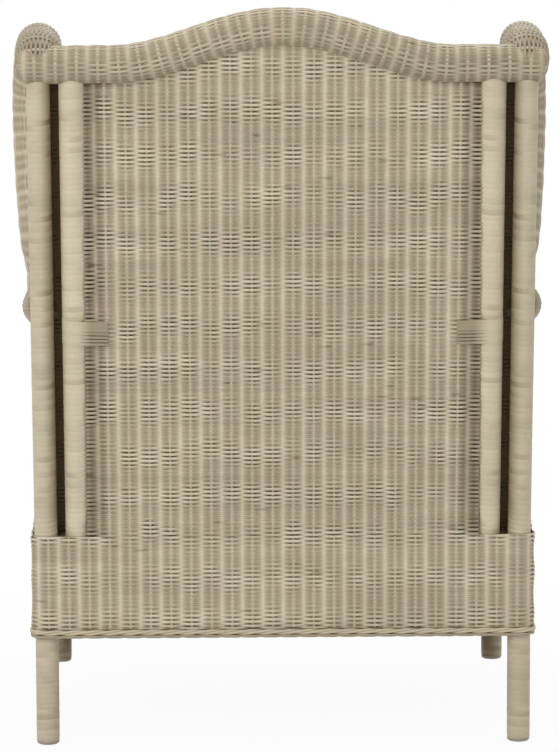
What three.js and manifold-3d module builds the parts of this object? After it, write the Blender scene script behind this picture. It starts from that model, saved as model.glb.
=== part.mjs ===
// A woven rattan wing-back armchair with a camelback top, a skirted seat and a loose seat cushion.
// Millimetres. +X is the sitter's left, -Y is the front, +Z is up, and the feet stand on Z = 0.
import * as THREE from "three";
import { mergeVertices } from "three/addons/utils/BufferGeometryUtils.js";
import Module from "manifold-3d";

const wasm = await Module();
wasm.setup();

// Plan of the frame, between the centres of the poles
const rearLegSpan = 680;
const frontSplay = 6;
const legDepth = 600;
const uprightInset = 47;

// Back: the rear posts stand straight to the seat and lean back above it
const rakeDegrees = 8;

// Poles, and the peel that is wound over the posts and legs
const poleDiameter = 28;
const wingPoleDiameter = 20;
const bindingThickness = 2.4;
const gap = 0.3;

// Feet
const glideDiameter = 26;
const glideHeight = 5;

// Seat frame
const deckTop = 305;
const deckThickness = 5.7;
const seatRailDiameter = 26;
const lowerRailDiameter = 14;
const slatDiameter = 20;
const slatCount = 4;

// Skirt and the plaited border under it
const skirtBottom = 170;
const skirtThickness = 4.5;
const borderHeight = 12.7;
const borderThickness = 7.5;

// Woven sheets
const sheetThickness = 8;
const backSheetSeat = 16;
const backSheetTop = 8;
const sheetSpreadRear = 10;
const sheetSpreadFront = 16;

// Upright stakes of the weave, which stand out as ribs where the canes pass over them
const stakePitch = 29.2;
const stakeRib = 2.4;
const stakeCrest = 8;
const stakeFoot = 18;

// Top roll of the back: level at the corners, with a rise in the middle
const backRollDiameter = 51;
const backRollHeight = 981;
const backRollOverhang = 29;
const crownRise = 52;
const crownWidth = 484;

// Arms: a roll that runs level from the rear post and turns down at the front
const armRollDiameter = 58;
const armHeight = 636;
const armBend = 85;

// Wings: the roll's centre line as [forward of the back, above the back roll's centre,
// share of the way down to the foot on the arm, outside the post]
const wingRollDiameter = 64;
const wingRollStart = 10;
const wingEdge = [
  [0, 0, 0, 0],
  [70, 14, 0, 1],
  [150, 23, 0, 5],
  [222, 10, 0, 12],
  [260, 0, 0.134, 18],
  [262, 0, 0.351, 18],
  [247, 0, 0.607, 14],
  [236, 0, 0.831, 8],
];
const wingFootReach = 252;
const wingFootRise = 32;
const wingSheetFlare = 8;

// Rail across the back at arm height, lashed to the uprights
const midRailDiameter = 22;
const midRailHeight = 605;
const midRailSetback = 4;
const lashingCane = 3.2;
const lashingTurns = 7;
const lashingPitch = 5;

// Seat cushion
const cushionEdge = 92;
const cushionCrown = 38;
const cushionDrawIn = 9;
const cushionRound = 14;
const cushionFrontOverhang = 12;
const cushionRearGap = 5.5;
const cushionSideGap = 5;

// Facets
const poleSides = 8;
const boundSides = 12;
const rollSides = 12;
const curveSteps = 22;
const glideSides = 24;
const outlineSpans = 16;
const wingSamples = 24;
const cushionCells = 12;
const cushionRows = 4;
const lashingSides = 5;
const lashingLoopSteps = 12;
const weldDistance = 1e-3;

// Sizes that follow from those above
const poleRadius = poleDiameter / 2;
const boundRadius = poleRadius + gap + bindingThickness;
const backRollRadius = backRollDiameter / 2;
const backRollLength = rearLegSpan + 2 * backRollOverhang;
const armRollRadius = armRollDiameter / 2;
const wingRollRadius = wingRollDiameter / 2;
const seatRailRadius = seatRailDiameter / 2;
const lowerRailRadius = lowerRailDiameter / 2;
const rearX = rearLegSpan / 2;
const frontX = rearX + frontSplay;
const uprightX = rearX - uprightInset;
const rearY = legDepth / 2;
const frontY = -legDepth / 2;
const lean = Math.tan(THREE.MathUtils.degToRad(rakeDegrees));
const bendHeight = deckTop;
const footTop = glideHeight + gap;
const deckBottom = deckTop - deckThickness;
const railHeight = deckBottom - gap - seatRailRadius;
const sheetBottom = deckTop + gap;
const lashingRadius = boundRadius + gap + lashingCane / 2;
const lashingReach = lashingRadius + lashingCane / 2;
const innerSheetSetback = lashingReach + gap + sheetThickness / 2;

const rattanPole = new THREE.MeshStandardMaterial({ color: 0xb39a6e, roughness: 0.6, metalness: 0 });
const rattanPeel = new THREE.MeshStandardMaterial({ color: 0xc4b79a, roughness: 0.55, metalness: 0 });
const rattanWeave = new THREE.MeshStandardMaterial({ color: 0xb0a58c, roughness: 0.7, metalness: 0 });
const rattanPlait = new THREE.MeshStandardMaterial({ color: 0xb8ac90, roughness: 0.7, metalness: 0 });
const linen = new THREE.MeshStandardMaterial({ color: 0xd9d2c3, roughness: 0.9, metalness: 0 });
const nylon = new THREE.MeshStandardMaterial({ color: 0x3a352e, roughness: 0.5, metalness: 0 });

// Where the leaning plane of the posts stands at a height
function backY(z) {
  return rearY + lean * (z - bendHeight);
}

// How high the top roll's centre is, across the back
function rollZ(x) {
  const across = Math.min(1, Math.abs(x) / (crownWidth / 2));
  return backRollHeight + crownRise * Math.cos((across * Math.PI) / 2) ** 2;
}

// The camelback line, between two ends at equal distance from the middle
class Camelback extends THREE.Curve {
  constructor(length) {
    super();
    this.length = length;
  }

  getPoint(t, target = new THREE.Vector3()) {
    const x = (t - 0.5) * this.length;
    const z = rollZ(x);
    return target.set(x, backY(z), z);
  }
}

// A stretch of another curve
class Stretch extends THREE.Curve {
  constructor(whole, from, to) {
    super();
    this.whole = whole;
    this.from = from;
    this.to = to;
  }

  getPoint(t, target = new THREE.Vector3()) {
    return this.whole.getPointAt(THREE.MathUtils.lerp(this.from, this.to, t), target);
  }
}

// The lashing's cane, wound about its own upright axis
class Winding extends THREE.Curve {
  getPoint(t, target = new THREE.Vector3()) {
    const angle = t * lashingTurns * 2 * Math.PI;
    const rise = (t - 0.5) * lashingTurns * lashingPitch;
    return target.set(lashingRadius * Math.cos(angle), lashingRadius * Math.sin(angle), rise);
  }
}

// Two straight runs with a bend between them
function bentPath(start, corner, end, bend) {
  const before = corner.clone().lerp(start, bend / corner.distanceTo(start));
  const after = corner.clone().lerp(end, bend / corner.distanceTo(end));
  const path = new THREE.CurvePath();
  path.add(new THREE.LineCurve3(start, before));
  path.add(new THREE.QuadraticBezierCurve3(before, corner, after));
  path.add(new THREE.LineCurve3(after, end));
  return path;
}

// A closed geometry as a body that can be joined and cut
function bodyOf(geometry) {
  const bare = new THREE.BufferGeometry();
  bare.setAttribute("position", geometry.getAttribute("position"));
  bare.setIndex(geometry.index);
  const merged = mergeVertices(bare, weldDistance);
  const triVerts = new Uint32Array(merged.index.array);
  return new wasm.Manifold(
    new wasm.Mesh({ numProp: 3, vertProperties: merged.getAttribute("position").array, triVerts }),
  );
}

// A body's faces as a geometry
function geometryOf(body) {
  const faces = body.getMesh();
  const geometry = new THREE.BufferGeometry();
  geometry.setAttribute("position", new THREE.BufferAttribute(faces.vertProperties, 3));
  geometry.setIndex(new THREE.BufferAttribute(faces.triVerts, 1));
  geometry.computeVertexNormals();
  return geometry;
}

// The same body on the other side of the chair
function mirrored(body) {
  const geometry = geometryOf(body).scale(-1, 1, 1);
  const turned = geometry.index.array;
  for (let i = 0; i < turned.length; i += 3) {
    const first = turned[i];
    turned[i] = turned[i + 1];
    turned[i + 1] = first;
  }
  return bodyOf(geometry);
}

function bothSides(...bodies) {
  return bodies.flatMap((body) => [body, mirrored(body)]);
}

// What is left of a body when others are cut from it, without the offcuts
function cut(body, tools) {
  const left = tools.reduce((rest, tool) => rest.subtract(tool), body);
  return left.decompose().reduce((most, piece) => (piece.volume() > most.volume() ? piece : most));
}

function tube(path, radius, sides, steps) {
  const points = [];
  for (let i = 0; i < sides; i += 1) {
    const angle = (i * 2 * Math.PI) / sides;
    points.push(new THREE.Vector2(radius * Math.cos(angle), radius * Math.sin(angle)));
  }
  const section = new THREE.Shape(points);
  return bodyOf(new THREE.ExtrudeGeometry(section, { extrudePath: path, steps }));
}

// A round bar along a path, with the room that its neighbours leave it
function bar(path, radius, sides = poleSides, steps = 1) {
  const roomRadius = radius + gap / Math.cos(Math.PI / sides);
  return { body: tube(path, radius, sides, steps), room: tube(path, roomRadius, sides, steps) };
}

function straight(start, end) {
  return new THREE.LineCurve3(start, end);
}

function at(x, y, z) {
  return new THREE.Vector3(x, y, z);
}

// A sheet as drawn, lying flat
function plainSheet(outline) {
  return new THREE.ExtrudeGeometry(new THREE.Shape(outline), { depth: sheetThickness, bevelEnabled: false });
}

// The same sheet with a rib at each stake, on its upper or its lower face
function ribbedSheet(outline, seenSide) {
  const reach = new THREE.Box2().setFromPoints(outline);
  const stakes = Math.floor((reach.max.x - reach.min.x) / stakePitch);
  const half = sheetThickness / 2;
  const section = [new THREE.Vector2(reach.min.x, -half), new THREE.Vector2(reach.max.x, -half)];
  section.push(new THREE.Vector2(reach.max.x, half - stakeRib));
  for (let i = stakes - 1; i >= 0; i -= 1) {
    const middle = (reach.min.x + reach.max.x) / 2 + (i - (stakes - 1) / 2) * stakePitch;
    section.push(new THREE.Vector2(middle + stakeFoot / 2, half - stakeRib));
    section.push(new THREE.Vector2(middle + stakeCrest / 2, half));
    section.push(new THREE.Vector2(middle - stakeCrest / 2, half));
    section.push(new THREE.Vector2(middle - stakeFoot / 2, half - stakeRib));
  }
  section.push(new THREE.Vector2(reach.min.x, half - stakeRib));
  const height = reach.max.y - reach.min.y;
  const ribs = new THREE.ExtrudeGeometry(new THREE.Shape(section), { depth: height, bevelEnabled: false });
  ribs.rotateX((seenSide * Math.PI) / 2);
  ribs.translate(0, seenSide > 0 ? reach.max.y : reach.min.y, half);
  return geometryOf(bodyOf(plainSheet(outline)).intersect(bodyOf(ribs)));
}

// A sheet set across the chair: it is drawn in X and Z, and leans with the back
function crossSheet(geometry, setback, slope) {
  geometry.applyMatrix4(new THREE.Matrix4().makeBasis(at(1, 0, 0), at(0, 0, 1), at(0, -1, 0)));
  const middle = backY(sheetBottom) + setback + sheetThickness / 2;
  const shift = middle - slope * sheetBottom;
  const leaning = new THREE.Matrix4().set(1, 0, 0, 0, 0, 1, slope, shift, 0, 0, 1, 0, 0, 0, 0, 1);
  return bodyOf(geometry.applyMatrix4(leaning));
}

// A sheet set along one side: it is drawn in Y and Z, and spreads towards the front
function sideSheet(geometry, rearEnd, rearMiddle, frontEnd, frontMiddle) {
  geometry.applyMatrix4(new THREE.Matrix4().makeBasis(at(0, 1, 0), at(0, 0, 1), at(1, 0, 0)));
  const slope = (frontMiddle - rearMiddle) / (frontEnd - rearEnd);
  const shift = rearMiddle - sheetThickness / 2 - slope * rearEnd;
  const spreading = new THREE.Matrix4().set(1, slope, 0, shift, 0, 1, 0, 0, 0, 0, 1, 0, 0, 0, 0, 1);
  return bodyOf(geometry.applyMatrix4(spreading));
}

// An upright band that runs along the back or the front and turns round both legs
function endBand(halfSpan, legY, outward, innerRadius, outerRadius, bottom, top) {
  const band = new THREE.Shape();
  band.absarc(halfSpan, 0, outerRadius, 0, Math.PI / 2, false);
  band.absarc(-halfSpan, 0, outerRadius, Math.PI / 2, Math.PI, false);
  band.absarc(-halfSpan, 0, innerRadius, Math.PI, Math.PI / 2, true);
  band.absarc(halfSpan, 0, innerRadius, Math.PI / 2, 0, true);
  const arcSegments = boundSides / 4;
  const geometry = new THREE.ExtrudeGeometry(band, {
    depth: top - bottom,
    bevelEnabled: false,
    curveSegments: arcSegments,
  });
  if (outward < 0) {
    geometry.rotateZ(Math.PI);
  }
  return geometry.translate(0, legY, bottom);
}

// An upright band that runs along one side between the two that turn round the legs
function sideBand(inner, outer, bottom, top) {
  const band = new THREE.Shape([
    new THREE.Vector2(frontX + inner, frontY + gap),
    new THREE.Vector2(frontX + outer, frontY + gap),
    new THREE.Vector2(rearX + outer, rearY - gap),
    new THREE.Vector2(rearX + inner, rearY - gap),
  ]);
  const geometry = new THREE.ExtrudeGeometry(band, { depth: top - bottom, bevelEnabled: false });
  return geometry.translate(0, 0, bottom);
}

// A rear post: straight to the seat, then leaning back, with its two runs mitred together
function postBar(topHeight, radius, sides) {
  const foot = at(rearX, rearY, footTop);
  const knee = at(rearX, rearY, bendHeight);
  const top = at(rearX, backY(topHeight), topHeight);
  const mitre = (radius * lean) / 2;
  const lowerEnd = at(rearX, rearY, bendHeight + mitre);
  const upperStart = knee.clone().addScaledVector(top.clone().sub(knee).normalize(), -mitre);
  const lower = bar(straight(foot, lowerEnd), radius, sides);
  const upper = bar(straight(upperStart, top), radius, sides);
  return { body: lower.body.add(upper.body), room: lower.room.add(upper.room) };
}

// Frame poles of the left side
const rearPost = postBar(backRollHeight + poleRadius, poleRadius, poleSides);
const rearBound = postBar(backRollHeight, boundRadius, boundSides);
const armCorner = at(frontX, frontY, armHeight);
const armPole = bar(
  bentPath(at(frontX, frontY, footTop), armCorner, at(rearX, backY(armHeight), armHeight), armBend),
  poleRadius,
  poleSides,
  curveSteps,
);
const legPath = straight(at(frontX, frontY, footTop), at(frontX, frontY, deckTop));
const legBound = bar(legPath, boundRadius, boundSides);
const uprightPath = straight(
  at(uprightX, backY(railHeight), railHeight),
  at(uprightX, backY(backRollHeight), backRollHeight),
);
const upright = bar(uprightPath, poleRadius);
const uprightBound = bar(uprightPath, boundRadius, boundSides);
const topRail = bar(new Camelback(rearLegSpan), poleRadius, poleSides, curveSteps);

// The wing's centre line, from the top of the rear post over and down to the arm
const wingTopY = backY(backRollHeight);
const wingFootTop = armHeight + wingFootRise;
const wingDrop = backRollHeight - wingFootTop;
const wingPath = new THREE.CatmullRomCurve3([
  ...wingEdge.map(([forward, above, down, outside]) =>
    at(rearX + outside, wingTopY - forward, backRollHeight + above - down * wingDrop),
  ),
  at(rearX, wingTopY - wingFootReach, wingFootTop),
  at(rearX, wingTopY - wingFootReach, armHeight),
]);
const wingRail = bar(wingPath, wingPoleDiameter / 2, poleSides, curveSteps);

// Rolls, as the space that they fill
const backRoll = bar(new Camelback(backRollLength), backRollRadius, rollSides, curveSteps);
const armRoll = bar(
  bentPath(
    at(frontX, frontY, sheetBottom),
    armCorner,
    at(rearX, backY(armHeight) - boundRadius - gap, armHeight),
    armBend,
  ),
  armRollRadius,
  rollSides,
  curveSteps,
);
const wingRoll = bar(
  new Stretch(wingPath, wingRollStart / wingPath.getLength(), 1),
  wingRollRadius,
  rollSides,
  curveSteps,
);

// Seat frame: the skirt runs outside the legs, and each rail lies level with their outer side
const bandInner = (boundRadius + gap) / Math.cos(Math.PI / boundSides);
const railOffset = boundRadius - seatRailRadius;
const lowerOffset = boundRadius - lowerRailRadius;
const lowerHeight = skirtBottom + lowerRailRadius;

function crossRail(halfSpan, y, z, radius) {
  return bar(straight(at(-halfSpan, y, z), at(halfSpan, y, z)), radius);
}

function sideRail(offset, z, radius) {
  return bar(straight(at(frontX + offset, frontY, z), at(rearX + offset, rearY, z)), radius);
}

const rearRail = crossRail(rearX, rearY + railOffset, railHeight, seatRailRadius);
const frontRail = crossRail(frontX, frontY - railOffset, railHeight, seatRailRadius);
const sideSeatRail = sideRail(railOffset, railHeight, seatRailRadius);
const rearLowerRail = crossRail(rearX, rearY + lowerOffset, lowerHeight, lowerRailRadius);
const frontLowerRail = crossRail(frontX, frontY - lowerOffset, lowerHeight, lowerRailRadius);
const sideLowerRail = sideRail(lowerOffset, lowerHeight, lowerRailRadius);
const legRooms = [rearBound.room, legBound.room];

const chair = new THREE.Group();

function add(name, geometry, material) {
  const mesh = new THREE.Mesh(geometry, material);
  mesh.name = name;
  chair.add(mesh);
  return mesh;
}

// One piece on the sitter's left and the same one, mirrored, on the right
function addPair(name, body, material) {
  const geometry = geometryOf(body);
  add(`${name}_left`, geometry, material);
  add(`${name}_right`, geometry, material).scale.x = -1;
}

// Posts, legs and their bindings
addPair("rear_post", rearPost.body, rattanPole);
addPair("rear_post_binding", cut(rearBound.body, [rearPost.room, backRoll.room]), rattanPeel);
addPair("front_leg", cut(armPole.body, [rearBound.room]), rattanPole);
addPair("front_leg_binding", cut(legBound.body, [armPole.room]), rattanPeel);
addPair("back_upright", cut(upright.body, [rearRail.room, topRail.room]), rattanPole);
const uprightCuts = [upright.room, rearRail.room, backRoll.room];
addPair("back_upright_binding", cut(uprightBound.body, uprightCuts), rattanPeel);
addPair("wing_rail", cut(wingRail.body, [rearPost.room, topRail.room, armPole.room]), rattanPole);
add("top_rail", geometryOf(cut(topRail.body, bothSides(rearPost.room))), rattanPole);

// Feet
const glideProfile = [
  new THREE.Vector2(0, 0),
  new THREE.Vector2(glideDiameter / 2, 0),
  new THREE.Vector2(glideDiameter / 2, glideHeight),
  new THREE.Vector2(0, glideHeight),
];
for (const [end, x, y] of [["rear", rearX, rearY], ["front", frontX, frontY]]) {
  for (const [side, sign] of [["left", 1], ["right", -1]]) {
    const turned = new THREE.LatheGeometry(glideProfile, glideSides).rotateX(Math.PI / 2);
    add(`${end}_glide_${side}`, turned, nylon).position.set(sign * x, y, 0);
  }
}

// Seat rails, slats and deck
add("rear_seat_rail", geometryOf(cut(rearRail.body, bothSides(rearBound.room))), rattanPole);
add("front_seat_rail", geometryOf(cut(frontRail.body, bothSides(legBound.room))), rattanPole);
addPair("side_seat_rail", cut(sideSeatRail.body, legRooms), rattanPole);
add("rear_lower_rail", geometryOf(cut(rearLowerRail.body, bothSides(rearBound.room))), rattanPole);
add("front_lower_rail", geometryOf(cut(frontLowerRail.body, bothSides(legBound.room))), rattanPole);
addPair("side_lower_rail", cut(sideLowerRail.body, legRooms), rattanPole);
for (let i = 1; i <= slatCount; i += 1) {
  const y = frontY + (i * legDepth) / (slatCount + 1);
  const slat = crossRail(rearX, y, deckBottom - gap - slatDiameter / 2, slatDiameter / 2);
  add(`seat_slat_${i}`, geometryOf(cut(slat.body, bothSides(sideSeatRail.room))), rattanPole);
}
const deckReach = bandInner - gap;
const deckOutline = new THREE.Shape([
  new THREE.Vector2(frontX + deckReach, frontY),
  new THREE.Vector2(rearX + deckReach, rearY),
  new THREE.Vector2(rearX, rearY + deckReach),
  new THREE.Vector2(-rearX, rearY + deckReach),
  new THREE.Vector2(-rearX - deckReach, rearY),
  new THREE.Vector2(-frontX - deckReach, frontY),
  new THREE.Vector2(-frontX, frontY - deckReach),
  new THREE.Vector2(frontX, frontY - deckReach),
]);
const deckPlate = new THREE.ExtrudeGeometry(deckOutline, { depth: deckThickness, bevelEnabled: false });
const deckHoles = bothSides(rearBound.room, legBound.room, uprightBound.room, armPole.room);
add("seat_deck", geometryOf(cut(bodyOf(deckPlate.translate(0, 0, deckBottom)), deckHoles)), rattanWeave);

// Skirt and border, four pieces each
const skirtOuter = bandInner + skirtThickness;
const borderOuter = bandInner + borderThickness;
const borderTop = skirtBottom - gap;
const borderBottom = borderTop - borderHeight;
for (const [end, halfSpan, legY, outward] of [
  ["rear", rearX, rearY, 1],
  ["front", frontX, frontY, -1],
]) {
  const skirt = endBand(halfSpan, legY, outward, bandInner, skirtOuter, skirtBottom, deckTop);
  add(`${end}_skirt`, skirt, rattanWeave);
  const border = endBand(halfSpan, legY, outward, bandInner, borderOuter, borderBottom, borderTop);
  add(`${end}_skirt_border`, border, rattanPlait);
}
addPair("side_skirt", bodyOf(sideBand(bandInner, skirtOuter, skirtBottom, deckTop)), rattanWeave);
addPair("side_skirt_border", bodyOf(sideBand(bandInner, borderOuter, borderBottom, borderTop)), rattanPlait);

// Rolls: woven tubes round the poles inside them
const backPoles = [topRail.room, ...bothSides(rearPost.room, upright.room, wingRail.room)];
add("back_roll", geometryOf(cut(backRoll.body, backPoles)), rattanWeave);
addPair("arm_roll", cut(armRoll.body, [armPole.room, wingRail.room, rearBound.room]), rattanWeave);
const wingRollCuts = [wingRail.room, backRoll.room, armRoll.room, rearPost.room, rearBound.room];
addPair("wing_roll", cut(wingRoll.body, wingRollCuts), rattanWeave);

// Lashings round the uprights, and the rail that they hold
const lashingMiddle = at(uprightX, backY(midRailHeight), midRailHeight);
const lashingHeight = lashingTurns * lashingPitch + lashingCane + 2 * gap;
const winding = new Winding();
const lashingBody = tube(winding, lashingCane / 2, lashingSides, lashingTurns * lashingLoopSteps);
for (const [side, sign] of [["left", 1], ["right", -1]]) {
  const lashing = add(`upright_lashing_${side}`, geometryOf(lashingBody), rattanPeel);
  lashing.position.set(sign * lashingMiddle.x, lashingMiddle.y, lashingMiddle.z);
  lashing.rotation.x = -Math.atan(lean);
}
const lashingAxis = at(0, lean, 1).normalize();
const lashingRoom = bar(
  straight(
    lashingMiddle.clone().addScaledVector(lashingAxis, -lashingHeight / 2),
    lashingMiddle.clone().addScaledVector(lashingAxis, lashingHeight / 2),
  ),
  lashingReach,
  boundSides,
).room;
const midRailY = lashingMiddle.y - midRailSetback;
const midRail = crossRail(uprightX, midRailY, midRailHeight, midRailDiameter / 2);
add("back_mid_rail", geometryOf(cut(midRail.body, bothSides(lashingRoom, uprightBound.room))), rattanPole);

// The least space between neighbouring turns of the lashing
const turnPoints = winding.getSpacedPoints(lashingTurns * lashingLoopSteps);
let leastGap = Infinity;
for (let i = 0; i < turnPoints.length; i += 1) {
  for (let j = i + lashingLoopSteps / 2; j < turnPoints.length; j += 1) {
    leastGap = Math.min(leastGap, turnPoints[i].distanceTo(turnPoints[j]) - lashingCane);
  }
}
console.log(`least gap between the lashing's turns ${leastGap.toFixed(2)} mm`);

// Back: an outer sheet between the uprights and an inner sheet in front of the posts
function camelOutline(halfWidth, below) {
  const outline = [new THREE.Vector2(-halfWidth, sheetBottom), new THREE.Vector2(halfWidth, sheetBottom)];
  for (let i = 0; i <= outlineSpans; i += 1) {
    const x = halfWidth * (1 - (2 * i) / outlineSpans);
    outline.push(new THREE.Vector2(x, rollZ(x) - below));
  }
  return outline;
}

const outerHalf = uprightX - boundRadius - gap;
const outerSlope = lean - (backSheetSeat - backSheetTop) / (backRollHeight - sheetBottom);
const backOuter = crossSheet(ribbedSheet(camelOutline(outerHalf, 0), -1), backSheetSeat, outerSlope);
const innerTop = backRollRadius / 2;
const backInner = crossSheet(ribbedSheet(camelOutline(rearX, innerTop), 1), -innerSheetSetback, lean);
const sideRooms = [armRoll.room, wingRoll.room, armPole.room, wingRail.room, rearBound.room];
add("back_weave_outer", geometryOf(cut(backOuter, [backRoll.room, ...bothSides(lashingRoom)])), rattanWeave);
add("back_weave_inner", geometryOf(cut(backInner, [backRoll.room, ...bothSides(...sideRooms)])), rattanWeave);

// Wings and arms: an outer and an inner sheet each
const innerRoomOutline = camelOutline(rearX + gap, innerTop - gap);
const backInnerRoom = crossSheet(plainSheet(innerRoomOutline), -innerSheetSetback - gap, lean);
const armOutline = [
  new THREE.Vector2(backY(sheetBottom), sheetBottom),
  new THREE.Vector2(backY(armHeight), armHeight),
  new THREE.Vector2(frontY, armHeight),
  new THREE.Vector2(frontY, sheetBottom),
];
const wingPoints = wingPath.getSpacedPoints(wingSamples);
const wingShape = wingPoints.map((point) => new THREE.Vector2(point.y, point.z));
wingShape.push(new THREE.Vector2(backY(armHeight), armHeight));
const wingFront = wingTopY - wingFootReach;
const wingMiddle = rearX + wingSheetFlare;
const sheetCuts = [rearBound.room, rearPost.room, armPole.room, backRoll.room, wingRoll.room, armRoll.room];
for (const [face, sign] of [["outer", 1], ["inner", -1]]) {
  const rear = rearX + sign * sheetSpreadRear;
  const cuts = sign < 0 ? [...sheetCuts, backInnerRoom] : sheetCuts;
  const wingMade = ribbedSheet(wingShape, sign);
  const wing = sideSheet(wingMade, wingTopY, rear, wingFront, wingMiddle + sign * sheetSpreadFront);
  const arm = sideSheet(ribbedSheet(armOutline, sign), rearY, rear, frontY, frontX + sign * sheetSpreadFront);
  addPair(`wing_weave_${face}`, cut(wing, cuts), rattanWeave);
  addPair(`arm_weave_${face}`, cut(arm, cuts), rattanWeave);
}

// Seat cushion: crowned on top, drawn in between its corners, flat where it lies on the deck
const cushionWidth = 2 * (rearX - wingRollRadius - cushionSideGap);
const cushionFront = frontY - cushionFrontOverhang;
const cushionRear = backY(sheetBottom) - innerSheetSetback - sheetThickness / 2 - cushionRearGap;
const cushionDepth = cushionRear - cushionFront;
const cushion = new THREE.BoxGeometry(2, 2, 2, cushionCells, cushionCells, cushionRows);
const points = cushion.getAttribute("position");
for (let i = 0; i < points.count; i += 1) {
  const u = points.getX(i);
  const v = points.getY(i);
  const w = points.getZ(i);
  const atSide = Math.max(Math.abs(u), Math.abs(v)) > 1 - weldDistance;
  const tuck = atSide ? cushionRound * w * w : 0;
  const halfWidth = cushionWidth / 2 - cushionDrawIn * (1 - v * v) - tuck;
  const halfDepth = cushionDepth / 2 - cushionDrawIn * (1 - u * u) - tuck;
  const crown = cushionCrown * Math.sqrt((1 - u * u) * (1 - v * v));
  const thickness = cushionEdge + crown;
  points.setXYZ(i, u * halfWidth, v * halfDepth, ((w + 1) / 2) * thickness);
}
const cushionMesh = add("seat_cushion", cushion, linen);
cushionMesh.position.set(0, (cushionFront + cushionRear) / 2, deckTop + gap);

// The origin lies under the middle of the whole chair
const reach = new THREE.Box3().setFromObject(chair);
chair.position.y = -(reach.min.y + reach.max.y) / 2;
const part = new THREE.Group();
part.add(chair);

export default part;
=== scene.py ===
import math
import bpy
import numpy as np
from mathutils import Matrix, Vector


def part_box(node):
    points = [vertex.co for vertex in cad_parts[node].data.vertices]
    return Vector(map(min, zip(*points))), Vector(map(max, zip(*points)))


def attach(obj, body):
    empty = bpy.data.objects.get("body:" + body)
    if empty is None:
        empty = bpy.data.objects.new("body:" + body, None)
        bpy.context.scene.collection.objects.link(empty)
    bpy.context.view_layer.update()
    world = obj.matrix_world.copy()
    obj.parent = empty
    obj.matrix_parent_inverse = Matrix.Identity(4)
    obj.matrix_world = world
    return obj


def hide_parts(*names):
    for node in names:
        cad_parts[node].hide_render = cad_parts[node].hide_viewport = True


# Woven rattan wing-back armchair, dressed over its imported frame. Metres, +Z up, the front faces -Y.
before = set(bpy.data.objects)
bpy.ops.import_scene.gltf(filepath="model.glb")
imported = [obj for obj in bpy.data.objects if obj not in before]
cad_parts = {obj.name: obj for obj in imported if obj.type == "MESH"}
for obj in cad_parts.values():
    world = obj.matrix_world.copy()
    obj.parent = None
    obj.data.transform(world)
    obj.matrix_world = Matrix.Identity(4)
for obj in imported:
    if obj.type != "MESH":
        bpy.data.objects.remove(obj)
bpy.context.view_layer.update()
mm = 0.001
print("frame loaded:", len(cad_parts), "nodes")


# Helpers for numbers and for lines of points
def clipped(values):
    return np.clip(values, 0, 1)


def eased(share):
    return share * share * (3 - 2 * share)


def unit(vectors):
    return vectors / np.maximum(np.linalg.norm(vectors, axis=-1, keepdims=True), 1e-12)


def repeated(vector, count):
    return np.tile(np.array(vector, float), (count, 1))


def runAlong(points):
    return np.concatenate([[0], np.cumsum(np.linalg.norm(np.diff(points, axis=0), axis=1))])


def valuesAt(places, run, values):
    return np.stack([np.interp(places, run, column) for column in values.T], 1)


def stepsFor(length, step, least=12):
    return max(least, int(length / step))


def addObject(name, data):
    made = bpy.data.objects.new(name, data)
    bpy.context.scene.collection.objects.link(made)
    return made


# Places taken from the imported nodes
def middleOf(node):
    low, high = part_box(node)
    return (low + high) / 2


rearX, rearY = middleOf("rear_glide_left")[:2]
frontX, frontY = middleOf("front_glide_left")[:2]
deckBottom, deckTop = (corner.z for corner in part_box("seat_deck"))
uprightX = middleOf("back_upright_binding_left").x
lowLeg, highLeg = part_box("front_leg_binding_left")
boundRadius = (highLeg.x - lowLeg.x) / 2
footTop = lowLeg.z
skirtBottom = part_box("rear_skirt")[0].z
borderBottom, borderTop = (corner.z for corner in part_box("rear_skirt_border"))

back = {"rake": 8.0, "cornerHeight": 981 * mm, "rise": 52 * mm, "crownWidth": 484 * mm, "deckGap": 0.3 * mm}
lean = math.tan(math.radians(back["rake"]))
sheetBottom = deckTop + back["deckGap"]
sides = (("left", 1), ("right", -1))


def backY(z):
    return rearY + lean * (z - deckTop)


def rollZ(x):
    across = np.minimum(1, np.abs(x) / (back["crownWidth"] / 2))
    return back["cornerHeight"] + back["rise"] * np.cos(across * math.pi / 2) ** 2


# Camera at the photograph's viewpoint, for a picture of 559 by 752
camera = {"place": (0.09185, 5.43955, 1.17141), "yaw": -0.01691, "down": 0.12244, "roll": -0.003265,
          "focalPixels": 3658.18, "longSide": 752, "sensor": 36.0, "farthest": 60}


def makeCamera():
    yaw, down, roll = camera["yaw"], camera["down"], camera["roll"]
    ahead = Vector((math.sin(yaw) * math.cos(down), -math.cos(yaw) * math.cos(down), -math.sin(down)))
    level = ahead.cross(Vector((0, 0, 1))).normalized()
    upward = level.cross(ahead)
    right = level * math.cos(roll) + upward * math.sin(roll)
    up = upward * math.cos(roll) - level * math.sin(roll)
    data = bpy.data.cameras.new("camera")
    data.sensor_width = camera["sensor"]
    data.lens = camera["focalPixels"] * camera["sensor"] / camera["longSide"]
    data.clip_end = camera["farthest"]
    seen = addObject("camera", data)
    turn = Matrix((right, up, -ahead)).transposed().to_4x4()
    seen.matrix_world = Matrix.Translation(camera["place"]) @ turn
    bpy.context.scene.camera = seen


makeCamera()
print("camera set")


# Node helpers for the materials
def newMaterial(name):
    material = bpy.data.materials.new(name)
    material.use_nodes = True
    tree = material.node_tree
    tree.nodes.clear()
    shader = tree.nodes.new("ShaderNodeBsdfPrincipled")
    output = tree.nodes.new("ShaderNodeOutputMaterial")
    tree.links.new(shader.outputs["BSDF"], output.inputs["Surface"])
    return material, tree, shader


def addNode(tree, kind, **settings):
    node = tree.nodes.new(kind)
    for key, value in settings.items():
        setattr(node, key, value)
    return node


def feed(tree, node, socket, value):
    if hasattr(value, "is_linked"):
        tree.links.new(value, node.inputs[socket])
    else:
        node.inputs[socket].default_value = value


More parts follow.
